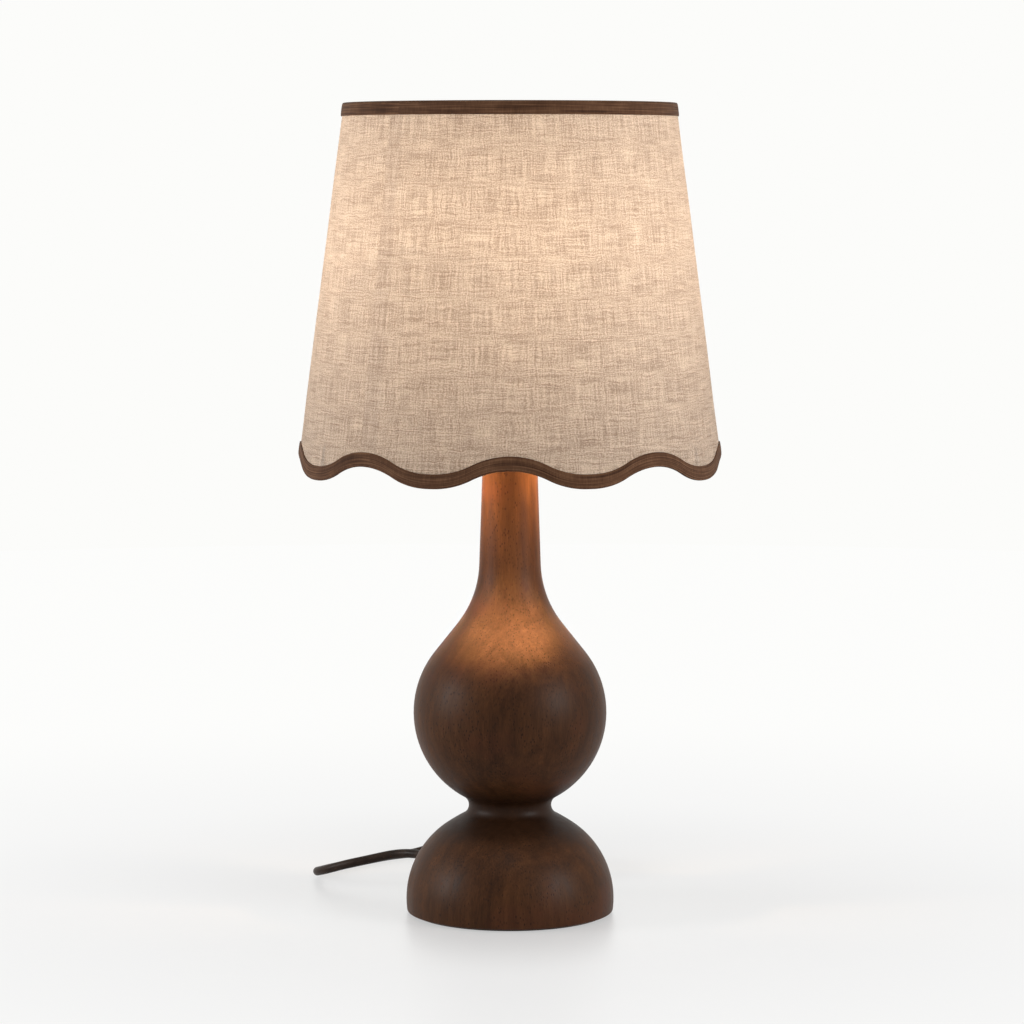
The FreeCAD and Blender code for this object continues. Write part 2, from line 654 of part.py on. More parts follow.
def top_binding():
    low, high = SHADE_TOP_Z - TOP_BAND_H + BAND_T, SHADE_TOP_Z
    flap_r = wire_inner_radius()
    flap_z = SHADE_TOP_Z - TOP_FLAP_H
    return revolved_polygon([
        (linen_radius(low), low), (linen_radius(low) + BAND_T, low),
        (linen_radius(high) + BAND_T, high + BAND_T), (flap_r - BAND_T, high + BAND_T),
        (flap_r - BAND_T, flap_z), (flap_r, flap_z), (flap_r, high), (linen_radius(high), high)])


def frame_ring(z, r=WIRE_R):
    """Wire ring that lies against the inside of the liner."""
    lean = math.sqrt(1 + SHADE_SLOPE ** 2)
    middle = linen_radius(z) - SKIN_T - (r + WIRE_GAP) * lean
    return Part.makeTorus(middle, r, Vec(0, 0, z))


TOP_RING_Z = SHADE_TOP_Z - WIRE_R - WIRE_GAP
BOTTOM_RING_Z = SCALLOP_Z + SCALLOP_RISE + BAND_H + WIRE_R + RING_ABOVE_BAND


def top_wire():
    return frame_ring(TOP_RING_Z)


def bottom_wire():
    return frame_ring(BOTTOM_RING_Z)


def spider_fitter():
    low = SEAT_Z + TURN_GAP
    return ring(FITTER_BORE_R, FITTER_R, low, low + FITTER_T)


def spider_arm(index):
    """Wire from the fitter out and down to the bottom ring."""
    level = SEAT_Z + TURN_GAP + FITTER_T / 2
    ring_r = linen_radius(BOTTOM_RING_Z) - SKIN_T - WIRE_R - WIRE_GAP
    points = [Vec(FITTER_R - 2.0, 0, level), Vec(FITTER_R + ARM_FLAT, 0, level),
              Vec(ring_r - ARM_FLAT, 0, BOTTOM_RING_Z), Vec(ring_r, 0, BOTTOM_RING_Z)]
    solid, _, _ = tube(points, WIRE_R, [ARM_BEND_R, ARM_BEND_R])
    solid = solid.cut(cylinder(FITTER_R, level - 10, level + 10)).cut(frame_ring(BOTTOM_RING_Z))
    solid = max(solid.Solids, key=lambda s: s.Volume)
    return turned_about_z(solid, 90.0 + index * 360.0 / ARMS)


def shade_lock():
    """Retaining ring that screws down on the sleeve and holds the fitter."""
    low = SEAT_Z + 2 * TURN_GAP + FITTER_T
    solid = ring(SKIRT_R + LOCK_PLAY, LOCK_R, low, low + LOCK_H)
    for i in range(LOCK_GRIPS):
        angle = math.radians(360.0 * i / LOCK_GRIPS)
        reach = LOCK_R + LOCK_GRIP_R / 2
        solid = solid.cut(cylinder(LOCK_GRIP_R, low, low + LOCK_H,
                                   reach * math.cos(angle), reach * math.sin(angle)))
    return solid


# ---------------------------------------------------------------- flex inside the lamp
def gland_seat():
    """Distance of the flange's seat from the lamp's axis."""
    return side_radius(GLAND_Z) - GLAND_SINK


def gland_tip():
    return gland_seat() + GLAND_FLANGE_T + GLAND_TAIL_L


def cord_gland():
    seat = gland_seat()
    axis = gland_point(1.0, 0.0)
    stem = Part.makeCylinder(GLAND_STEM_R, GLAND_STEM_L, gland_point(seat - GLAND_STEM_L), axis)
    flange = Part.makeCylinder(GLAND_FLANGE_R, GLAND_FLANGE_T, gland_point(seat), axis)
    tail = Part.makeCone(GLAND_TAIL_R, GLAND_TIP_R, GLAND_TAIL_L,
                         gland_point(seat + GLAND_FLANGE_T), axis)
    bore = Part.makeCylinder(CORD_R + CORD_PLAY, DOME_R, gland_point(seat - GLAND_STEM_L), axis)
    return stem.fuse(flange).fuse(tail).removeSplitter().cut(bore)


def flex_top():
    return HOLDER_Z + CAP_ENTRY_H + 1.0


def flex_inner():
    """Flex from the gland's tip, through the chamber and up the rod."""
    low = COVER_TOP_Z + CORD_R + 0.6
    points = [gland_point(gland_tip()), gland_point(CHAMBER_R - 2.0), gland_point(18.0, low),
              Vec(0, 0, low), Vec(0, 0, flex_top())]
    solid, _, _ = tube(points, CORD_R, [25.0, 16.0, 12.0])
    return solid


# ---------------------------------------------------------------- free flex
def lead_route():
    """From the gland's tip round to the switch."""
    start = gland_point(gland_tip())
    return [start, start + gland_point(16.0, 0.0), Vec(-86.5, 82.0, 17.1), Vec(-110.4, 83.5, 10.9),
            Vec(-124.8, 100.1, 4.9), Vec(-125.5, 121.1, CORD_R), Vec(-110.2, 143.1, CORD_R),
            Vec(-90.0, 164.5, CORD_R), Vec(-67.0, SWITCH_Y, CORD_R + 0.6),
            Vec(SWITCH_X - SWITCH_L / 2, SWITCH_Y, SWITCH_SPLIT_Z)]


def coil_right():
    """X of the coil's outer turn on its right side."""
    return COIL_X + COIL_MEAN_R + (COIL_WIDE - 1) * CORD_R


def link_route():
    """From the switch to the outer turn of the coil."""
    right, low = coil_right(), CORD_R + TIE_T
    return [Vec(SWITCH_X + SWITCH_L / 2, SWITCH_Y, SWITCH_SPLIT_Z),
            Vec(SWITCH_X + SWITCH_L / 2 + 17.0, SWITCH_Y, low + 0.6),
            Vec(right - 8.5, SWITCH_Y - 8.5, low), Vec(right, SWITCH_Y - 23.2, low),
            Vec(right - 1.0, SWITCH_Y - 40.2, low)]


def tail_route():
    """Last half turn, on top of the coil, and into the plug's boot."""
    top = COIL_TOP_Z + CORD_R
    right = coil_right()
    tip = plug_frame() - plug_direction() * PLUG_BOOT_L
    return [Vec(COIL_X - 22.5, COIL_Y + 32.1, top - 2 * CORD_R), Vec(COIL_X - 3.5, COIL_Y + 39.8, top - 1.5),
            Vec(COIL_X + 15.8, COIL_Y + 37.3, top), Vec(COIL_X + 27.5, COIL_Y + 29.5, top),
            Vec(right - 1.0, COIL_Y + 15.5, top), Vec(right, COIL_Y - 3.0, top),
            tip - plug_direction() * 20.0 - Vec(0, 0, 3.0), tip]


def cord_coil():
    """Outer shape of the tied coil, with the tie's channel round its section."""
    solid = ring(COIL_INNER_R, COIL_OUTER_R, TIE_T, COIL_TOP_Z, COIL_X, COIL_Y)
    return solid


def cord_tie():
    """Flat band round the coil's section."""
    angle = math.radians(TIE_AZIMUTH)
    inner, outer = COIL_INNER_R - TIE_T, COIL_OUTER_R + TIE_T
    band = Part.makeBox(outer - inner, TIE_W, COIL_TOP_Z + TIE_T, Vec(inner, -TIE_W / 2, 0))
    band.rotate(ORIGIN, Z_AXIS, math.degrees(angle))
    band.translate(Vec(COIL_X, COIL_Y, 0))
    return band.cut(ring(COIL_INNER_R, COIL_OUTER_R, TIE_T, COIL_TOP_Z, COIL_X, COIL_Y))


# ---------------------------------------------------------------- switch
def switch_block():
    block = Part.makeBox(SWITCH_L, SWITCH_W, SWITCH_H,
                         Vec(SWITCH_X - SWITCH_L / 2, SWITCH_Y - SWITCH_W / 2, 0))
    upright = [e for e in block.Edges if e.BoundBox.ZLength > SWITCH_H / 2]
    block = block.makeFillet(SWITCH_W / 2 - 3.0, upright)
    rim = [e for e in block.Edges if e.BoundBox.ZMin > SWITCH_H - 0.01]
    return block.makeFillet(SWITCH_ROUND, rim)


def along_y(radius, half_length):
    """Cylinder along Y through the rocker's pivot."""
    return Part.makeCylinder(radius, 2 * half_length,
                             Vec(SWITCH_X, SWITCH_Y - half_length, SWITCH_SPLIT_Z), Vec(0, 1, 0))


def switch_housing():
    """Both halves as one block, hollowed for the rocker, its pivots and the flex."""
    solid = switch_block()
    half_w = ROCKER_W / 2 + ROCKER_PLAY
    room = along_y(ROCKER_R + ROCKER_PLAY, half_w)
    keep = Part.makeBox(SWITCH_L, SWITCH_W, SWITCH_H,
                        Vec(SWITCH_X - SWITCH_L / 2, SWITCH_Y - SWITCH_W / 2, 1.5))
    solid = solid.cut(room.common(keep))
    solid = solid.cut(along_y(PIVOT_R + PIVOT_PLAY, ROCKER_W / 2 + ROCKER_PLAY + PIVOT_L))
    return solid


def case_screw_places():
    for side in (-1, 1):
        yield SWITCH_X + side * (SWITCH_L / 2 - CASE_SCREW_INSET), SWITCH_Y + CASE_SCREW_Y * side


def switch_half(low, high):
    slab = Part.makeBox(SWITCH_L + 2, SWITCH_W + 2, high - low,
                        Vec(SWITCH_X - SWITCH_L / 2 - 1, SWITCH_Y - SWITCH_W / 2 - 1, low))
    solid = switch_housing().common(slab)
    for place in case_screw_places():
        solid = solid.cut(cylinder(CASE_SCREW_R, 0.0, CASE_SCREW_L, *place))
    return solid


def switch_lower():
    return switch_half(0.0, SWITCH_SPLIT_Z)


def switch_upper():
    return switch_half(SWITCH_SPLIT_Z, SWITCH_H)


def switch_screws():
    return Part.makeCompound([cylinder(CASE_SCREW_R, 0.3, CASE_SCREW_L, *place)
                              for place in case_screw_places()])


def switch_rocker():
    """Rocker with a crest across its middle; at rest its +X side is down."""
    throw = math.radians(ROCKER_THROW)
    crest_z = SWITCH_SPLIT_Z + ROCKER_CREST
    reach = ROCKER_R + 2.0
    low_z = SWITCH_SPLIT_Z - ROCKER_BELLY
    points = [(-reach, crest_z), (0.0, crest_z), (reach, crest_z - reach * math.tan(throw)),
              (reach, low_z), (-reach, low_z)]
    corners = [Vec(SWITCH_X + x, SWITCH_Y - ROCKER_W / 2, z) for x, z in points]
    prism = Part.Face(Part.makePolygon(corners + corners[:1])).extrude(Vec(0, ROCKER_W, 0))
    body = prism.common(along_y(ROCKER_R, ROCKER_W / 2))
    return body.fuse(along_y(PIVOT_R, ROCKER_W / 2 + PIVOT_L)).removeSplitter()


# ---------------------------------------------------------------- plug
def plug_frame():
    """Centre of the rear face of the plug's body."""
    return Vec(COIL_X + PLUG_FROM_COIL[0], COIL_Y + PLUG_FROM_COIL[1], COIL_TOP_Z + PLUG_T / 2)


def plug_direction():
    angle = math.radians(PLUG_AZIMUTH)
    return Vec(math.cos(angle), math.sin(angle), 0)


def on_the_plug(shape):
    """Puts a shape drawn along +X from the origin onto the plug's place and direction."""
    shape.rotate(ORIGIN, Z_AXIS, PLUG_AZIMUTH)
    shape.translate(plug_frame())
    return shape


def plug_body():
    """Flat two-pin body, drawn in at the waist for the fingers."""
    half, waist = PLUG_W / 2, PLUG_WAIST_W / 2
    rear_half = PLUG_BOOT_R + 1.5
    side = [(0.0, rear_half), (PLUG_FLANK_L, waist), (PLUG_L - PLUG_NOSE_L, waist),
            (PLUG_L - PLUG_RIM_L, half), (PLUG_L, half)]
    outline = [(x, -y) for x, y in side] + list(reversed(side))
    corners = [Vec(x, y, -PLUG_T / 2) for x, y in outline]
    prism = Part.Face(Part.makePolygon(corners + corners[:1])).extrude(Vec(0, 0, PLUG_T))
    rim = [e for e in prism.Edges if e.BoundBox.ZLength < 0.01 and e.BoundBox.XMin < PLUG_L - 0.01]
    return on_the_plug(prism.makeFillet(PLUG_ROUND, rim))


def plug_boot():
    return on_the_plug(Part.makeCone(PLUG_BOOT_TIP_R, PLUG_BOOT_R, PLUG_BOOT_L,
                                     Vec(-PLUG_BOOT_L, 0, 0), Vec(1, 0, 0)))


def plug_pin(side):
    pin = Part.makeCylinder(PIN_R, PIN_L, Vec(PLUG_L, side * PIN_SPACING / 2, 0), Vec(1, 0, 0))
    tip = [e for e in pin.Edges if e.BoundBox.XMin > PLUG_L + PIN_L - 0.01]
    return on_the_plug(pin.makeFillet(PIN_R * 0.6, tip))


# ---------------------------------------------------------------- build
def checked_tube(name, points):
    solid, length, radii = tube(points, CORD_R)
    expected = math.pi * CORD_R ** 2 * length
    print(f"{name}: length {length:.1f}, radii {[round(r, 1) for r in radii]}, "
          f"volume ratio {solid.Volume / expected:.4f}")
    return solid


def all_parts():
    parts = {
        "felt_pad": felt_pad(), "base_cover": base_cover(), "cover_screws": cover_screws(),
        "foot_dome": foot_dome(), "ballast": ballast(), "rod_washer": rod_washer(),
        "rod_nut": rod_nut(), "threaded_rod": threaded_rod(), "body_gourd": body_gourd(),
        "neck_collar": neck_collar(), "holder_cap": holder_cap(), "holder_core": holder_core(),
        "holder_shell": holder_shell(), "holder_contact": holder_contact(),
        "holder_skirt": holder_skirt(), "flex_inner": flex_inner(), "cord_gland": cord_gland(),
        "bulb_glass": bulb_glass(), "bulb_cap": bulb_cap(), "bulb_insulator": bulb_insulator(),
        "bulb_contact": bulb_contact(), "shade_linen": shade_linen(), "shade_liner": shade_liner(),
        "top_binding": top_binding(), "bottom_binding": bottom_binding(), "top_wire": top_wire(),
        "bottom_wire": bottom_wire(), "spider_fitter": spider_fitter(), "shade_lock": shade_lock(),
        "cord_lead": checked_tube("cord_lead", lead_route()).cut(switch_block()),
        "cord_link": checked_tube("cord_link", link_route()).cut(switch_block()),
        "cord_tail": checked_tube("cord_tail", tail_route()).cut(plug_boot()),
        "cord_coil": cord_coil(), "cord_tie": cord_tie(),
        "switch_lower": switch_lower(), "switch_upper": switch_upper(),
        "switch_screws": switch_screws(), "switch_rocker": switch_rocker(),
        "plug_body": plug_body(), "plug_boot": plug_boot(),
        "plug_pin_live": plug_pin(1), "plug_pin_neutral": plug_pin(-1),
    }
    for name, x in terminal_places().items():
        parts[f"terminal_{name}"] = holder_terminal(x)
        parts[f"wire_{name}"] = lead(x)
    for index in range(ARMS):
        parts[f"spider_arm_{index + 1}"] = spider_arm(index)
    return parts


def build_all():
    os.makedirs("parts", exist_ok=True)
    for name, shape in all_parts().items():
        shape.exportStep(f"parts/{name}.step")
        box = shape.BoundBox
        print(f"{name:18s} solids {len(shape.Solids)} valid {shape.isValid()} volume {shape.Volume:10.1f} "
              f"z {box.ZMin:7.2f} {box.ZMax:7.2f} x {box.XMin:7.1f} {box.XMax:7.1f} "
              f"y {box.YMin:7.1f} {box.YMax:7.1f}")


build_all()
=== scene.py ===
"""Looks of the table lamp: turned walnut, a lit linen shade, its flex, and a plain pale studio.

Metres, +Z up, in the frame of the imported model.  The front of the lamp faces -Y.
"""

import json
import math

import bmesh
import bpy
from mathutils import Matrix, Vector, noise


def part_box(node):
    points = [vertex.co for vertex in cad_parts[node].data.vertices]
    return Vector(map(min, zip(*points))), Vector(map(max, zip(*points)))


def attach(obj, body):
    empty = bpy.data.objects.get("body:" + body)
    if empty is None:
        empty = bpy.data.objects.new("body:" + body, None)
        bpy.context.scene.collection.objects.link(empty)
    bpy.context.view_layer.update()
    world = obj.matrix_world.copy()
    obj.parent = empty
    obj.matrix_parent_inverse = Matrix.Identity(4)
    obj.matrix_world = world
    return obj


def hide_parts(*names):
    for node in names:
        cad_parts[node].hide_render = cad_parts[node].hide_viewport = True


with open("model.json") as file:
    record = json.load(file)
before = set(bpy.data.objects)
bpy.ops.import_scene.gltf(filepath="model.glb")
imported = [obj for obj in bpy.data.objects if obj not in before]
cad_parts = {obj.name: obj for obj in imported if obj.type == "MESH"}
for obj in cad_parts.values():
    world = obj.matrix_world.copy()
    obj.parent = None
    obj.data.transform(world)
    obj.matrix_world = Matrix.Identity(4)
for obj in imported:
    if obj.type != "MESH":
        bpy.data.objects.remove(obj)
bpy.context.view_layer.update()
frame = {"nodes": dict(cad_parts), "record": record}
nodes = frame["nodes"]
scene = bpy.context.scene
MM = 0.001


# ---------------------------------------------------------------- camera
CAMERA_PLACE = (0.0012, -2.22, 0.452)
CAMERA_TILT = 5.35            # degrees below the horizontal
CAMERA_LENS = 130.08          # on a sensor 36 mm wide

camera_data = bpy.data.cameras.new("camera")
camera_data.sensor_width = 36.0
camera_data.lens = CAMERA_LENS
camera = bpy.data.objects.new("camera", camera_data)
camera.location = CAMERA_PLACE
camera.rotation_euler = (math.radians(90.0 - CAMERA_TILT), 0.0, 0.0)
scene.collection.objects.link(camera)
scene.camera = camera
scene.view_settings.view_transform = "Standard"


# ---------------------------------------------------------------- shader helpers
def new_material(name):
    material = bpy.data.materials.new(name)
    material.use_nodes = True
    material.node_tree.nodes.clear()
    return material, material.node_tree


def add(tree, kind, inputs=None, **settings):
    """Adds a node; an input is given as a value, or as the socket that feeds it."""
    node = tree.nodes.new(kind)
    for key, value in settings.items():
        setattr(node, key, value)
    for key, value in (inputs or {}).items():
        if isinstance(value, bpy.types.NodeSocket):
            tree.links.new(value, node.inputs[key])
        elif node.inputs[key].type == "RGBA" and len(value) == 3:
            node.inputs[key].default_value = (*value, 1.0)
        else:
            node.inputs[key].default_value = value
    return node


def math_node(tree, operation, *values):
    return add(tree, "ShaderNodeMath", dict(enumerate(values)), operation=operation).outputs[0]


def weighted(tree, *layers):
    """Sum of (value, share) pairs."""
    total = None
    for value, share in layers:
        part = math_node(tree, "MULTIPLY", value, share)
        total = part if total is None else math_node(tree, "ADD", total, part)
    return total


def ramp(tree, value, stops):
    """Colour ramp; stops is a list of (position, colour)."""
    node = add(tree, "ShaderNodeValToRGB", {"Fac": value})
    elements = node.color_ramp.elements
    while len(elements) < len(stops):
        elements.new(0.5)
    for element, (position, colour) in zip(elements, stops):
        element.position = position
        element.color = (*colour, 1.0)
    return node.outputs["Color"]


def span(tree, value, low, high, out_low=0.0, out_high=1.0, smooth=True):
    """Maps low to high onto out_low to out_high, and holds the ends beyond them."""
    node = add(tree, "ShaderNodeMapRange", {"Value": value, "From Min": low, "From Max": high,
                                            "To Min": out_low, "To Max": out_high})
    node.interpolation_type = "SMOOTHSTEP" if smooth else "LINEAR"
    return node.outputs["Result"]


def scaled(tree, vector, scale, offset=(0.0, 0.0, 0.0)):
    node = add(tree, "ShaderNodeMapping", {"Vector": vector, "Scale": scale, "Location": offset})
    return node.outputs["Vector"]


def noise_at(tree, vector, detail=2.0, roughness=0.5, scale=1.0, distortion=0.0):
    node = add(tree, "ShaderNodeTexNoise", {"Vector": vector, "Scale": scale, "Detail": detail,
                                            "Roughness": roughness, "Distortion": distortion})
    return node.outputs["Fac"]


def swaying(tree, vector, scale, detail, reach):
    """The vector pushed aside by up to half of reach, so that straight lines sway."""
    sway = add(tree, "ShaderNodeTexNoise", {"Vector": scaled(tree, vector, scale), "Detail": detail})
    aside = add(tree, "ShaderNodeVectorMath", {0: sway.outputs["Color"], 1: (0.5, 0.5, 0.5)},
                operation="SUBTRACT").outputs[0]
    push = add(tree, "ShaderNodeVectorMath", {0: aside, "Scale": reach}, operation="SCALE").outputs[0]
    return add(tree, "ShaderNodeVectorMath", {0: vector, 1: push}, operation="ADD").outputs[0]


def mixed(tree, factor, a, b):
    """Mix of two colours."""
    node = add(tree, "ShaderNodeMix", {"Factor": factor}, data_type="RGBA", blend_type="MIX")
    for socket, value in ((node.inputs[6], a), (node.inputs[7], b)):
        if isinstance(value, bpy.types.NodeSocket):
            tree.links.new(value, socket)
        else:
            socket.default_value = (*value, 1.0)
    return node.outputs[2]


def mixed_shader(tree, factor, a, b):
    return add(tree, "ShaderNodeMixShader", {0: factor, 1: a, 2: b}).outputs[0]


def tinted(colour, share):
    """The colour made darker or lighter, held at white."""
    return tuple(min(1.0, c * share) for c in colour)


def bumped(tree, height, distance, strength=1.0):
    node = add(tree, "ShaderNodeBump", {"Height": height, "Distance": distance, "Strength": strength})
    return node.outputs["Normal"]


def object_place(tree):
    return add(tree, "ShaderNodeTexCoord").outputs["Object"]


def axis_of(tree, vector, axis):
    return add(tree, "ShaderNodeSeparateXYZ", {0: vector}).outputs[axis]


def seen_rays(tree):
    """1 for the rays by which a thing is looked at: straight, mirrored or through glass."""
    rays = add(tree, "ShaderNodeLightPath")
    seen = math_node(tree, "MAXIMUM", rays.outputs["Is Camera Ray"], rays.outputs["Is Glossy Ray"])
    return rays, math_node(tree, "MAXIMUM", seen, rays.outputs["Is Transmission Ray"])


def finish_material(tree, shader):
    tree.links.new(shader, add(tree, "ShaderNodeOutputMaterial").inputs["Surface"])


def principled(tree, colour, roughness, **more):
    """The shader's output; each further input is named with _ for a space."""
    inputs = {"Base Color": colour, "Roughness": roughness}
    inputs.update({key.replace("_", " "): value for key, value in more.items()})
    return add(tree, "ShaderNodeBsdfPrincipled", inputs).outputs[0]


# ---------------------------------------------------------------- mesh helpers
def new_piece(name, vertices, faces, body, material, smooth_angle=40.0, uv=None):
    """Mesh object that rides on a body; edges sharper than smooth_angle degrees stay sharp."""
    mesh = bpy.data.meshes.new(name)
    mesh.from_pydata([tuple(v) for v in vertices], [], faces)
    mesh.validate()
    mesh.polygons.foreach_set("use_smooth", [True] * len(mesh.polygons))
    mesh.set_sharp_from_angle(angle=math.radians(smooth_angle))
    if uv is not None:
        layer = mesh.uv_layers.new(name="UVMap")
        for loop in mesh.loops:
            layer.data[loop.index].uv = uv[loop.vertex_index]
    piece = bpy.data.objects.new(name, mesh)
    scene.collection.objects.link(piece)
    piece.data.materials.append(material)
    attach(piece, body)
    return piece


def grid_faces(rows, columns, wrap_rows=False, wrap_columns=False):
    """Quads of a grid whose vertex (row, column) has the index row * columns + column."""
    faces = []
    for i in range(rows if wrap_rows else rows - 1):
        for j in range(columns if wrap_columns else columns - 1):
            a = i * columns + j
            b = i * columns + (j + 1) % columns
            c = ((i + 1) % rows) * columns + (j + 1) % columns
            d = ((i + 1) % rows) * columns + j
            faces.append((a, b, c, d))
    return faces


LATHE_SEGMENTS = 64


def lathe(name, profile, origin, axis, body, material):
    """Solid of revolution; the profile is a list of (distance along the axis, radius)."""
    turn = Vector((0, 0, 1)).rotation_difference(Vector(axis).normalized()).to_matrix()
    vertices = []
    for along, radius in profile:
        for k in range(LATHE_SEGMENTS):
            angle = 2 * math.pi * k / LATHE_SEGMENTS
            local = Vector((radius * math.cos(angle), radius * math.sin(angle), along))
            vertices.append(Vector(origin) + turn @ local)
    faces = grid_faces(len(profile), LATHE_SEGMENTS, wrap_columns=True)
    last_row = (len(profile) - 1) * LATHE_SEGMENTS
    faces.append(tuple(reversed(range(LATHE_SEGMENTS))))
    faces.append(tuple(range(last_row, last_row + LATHE_SEGMENTS)))
    return new_piece(name, vertices, faces, body, material)


# ---------------------------------------------------------------- sizes shared with the CAD part
SHADE_TOP_R = 99.2 * MM
SHADE_BOTTOM_R = 127.1 * MM
SCALLOP_Z = 274.4 * MM
SHADE_TOP_Z = 488.4 * MM
SHADE_SLOPE = (SHADE_BOTTOM_R - SHADE_TOP_R) / (SHADE_TOP_Z - SCALLOP_Z)
SCALLOP_SPANS = (42.0, 42.0, 47.0, 47.0, 46.0, 47.0, 47.0, 42.0)    # degrees, the front one first
SCALLOP_RISE = 5.35 * MM
SCALLOP_LEVEL = 1.0 * MM      # level stretch on either side of each low point
SKIN_T = 1.4 * MM             # linen and liner together
SEAM_AZIMUTH = -43.5          # degrees from the front, to the left
SEAM_LAP = 10.0 * MM
MEAN_R = (SHADE_TOP_R + SHADE_BOTTOM_R) / 2    # radius at which the cloth's U is true length
CORD_R = 2.8 * MM


def level_direction(degrees):
    """Unit vector in the table's plane, at an angle counted from +X."""
    return Vector((math.cos(math.radians(degrees)), math.sin(math.radians(degrees)), 0.0))


GLAND_DIRECTION = level_direction(132.0)
GLAND_Z = 23.2 * MM
GLAND_SEAT = 60.108 * MM      # distance of the flange's seat from the lamp's axis
COIL_CENTRE = Vector((10.0, 124.0, 0.0)) * MM
PLUG_Z = 18.55 * MM           # height of the plug's parting line
SWITCH_Z = 7.0 * MM           # the same of the inline switch
PLUG_REAR = Vector((1.0 * MM, 90.0 * MM, PLUG_Z))
PLUG_DIRECTION = level_direction(200.0)
PLUG_SIDE = level_direction(290.0)
PLUG_HALF_T = 6.85 * MM
BOOT_LENGTH = 20.0 * MM


# ---------------------------------------------------------------- materials of hard parts
def plastic(name, colour, roughness, seam_z=None):
    """Moulded plastic: slight mottling, a fine eroded texture, and a parting line at seam_z."""
    material, tree = new_material(name)
    place = object_place(tree)
    mottle = noise_at(tree, place, detail=4.0, scale=70.0)
    height = noise_at(tree, place, detail=3.0, scale=900.0)
    base = mixed(tree, span(tree, mottle, 0.3, 0.7), tinted(colour, 0.8), tinted(colour, 1.22))
    if seam_z is not None:
        away = math_node(tree, "ABSOLUTE", math_node(tree, "SUBTRACT", axis_of(tree, place, "Z"), seam_z))
        open_face = span(tree, away, 0.12 * MM, 0.3 * MM)
        base = mixed(tree, open_face, tinted(colour, 0.35), base)
        height = math_node(tree, "ADD", math_node(tree, "MULTIPLY", open_face, 5.0), height)
    rough = span(tree, mottle, 0.3, 0.7, roughness - 0.05, roughness + 0.07)
    finish_material(tree, principled(tree, base, rough, Normal=bumped(tree, height, 0.05 * MM)))
    return material


def metal(name, colour, roughness, dull=0.0, grain=(400.0, 400.0, 40.0)):
    """Bare or plated metal with scratches drawn out along Z unless the grain is even."""
    material, tree = new_material(name)
    place = object_place(tree)
    scratch = noise_at(tree, scaled(tree, place, grain), detail=4.0, roughness=0.6)
    cloud = noise_at(tree, place, detail=3.0, scale=90.0)
    base = mixed(tree, span(tree, cloud, 0.35, 0.7), colour, tinted(colour, 0.8 - dull))
    rough = span(tree, scratch, 0.25, 0.75, roughness - 0.06, roughness + 0.1)
    finish_material(tree, principled(tree, base, rough, Metallic=1.0,
                                     Normal=bumped(tree, scratch, 0.02 * MM)))
    return material


def ceramic(name, colour):
    material, tree = new_material(name)
    place = object_place(tree)
    cloud = noise_at(tree, place, detail=4.0, scale=160.0)
    base = mixed(tree, span(tree, cloud, 0.3, 0.75), colour, tinted(colour, 0.86))
    rough = span(tree, cloud, 0.3, 0.7, 0.2, 0.34)
    finish_material(tree, principled(tree, base, rough, Normal=bumped(tree, cloud, 0.1 * MM)))
    return material


def fibre_board(name, dark, light, scale, roughness, bump):
    """Felt or hardboard: matted short fibres."""
    material, tree = new_material(name)
    place = object_place(tree)
    fibres = noise_at(tree, place, detail=6.0, roughness=0.75, scale=scale, distortion=1.5)
    cloud = noise_at(tree, place, detail=2.0, scale=60.0)
    base = ramp(tree, weighted(tree, (fibres, 0.75), (cloud, 0.25)), [(0.35, dark), (0.65, light)])
    rough = span(tree, fibres, 0.3, 0.7, roughness - 0.05, roughness)
    finish_material(tree, principled(tree, base, rough, Normal=bumped(tree, fibres, bump), Sheen_Weight=0.3))
    return material


# ---------------------------------------------------------------- walnut
PITH = (-0.13, 0.20)          # where the tree's middle lies beside the lamp
PORE_COLOUR = (0.014, 0.0058, 0.0030)
# painted shade: colour towards which the cove under the ball and the top of the foot are darkened
COVE_SHADE_COLOUR = (0.010, 0.0040, 0.0018)
COVE_SHADE_LOW = (44.0 * MM, 56.0 * MM)     # heights over which the painted shade in the cove sets in
COVE_SHADE_HIGH = (70.0 * MM, 86.0 * MM)    # heights over which it ends


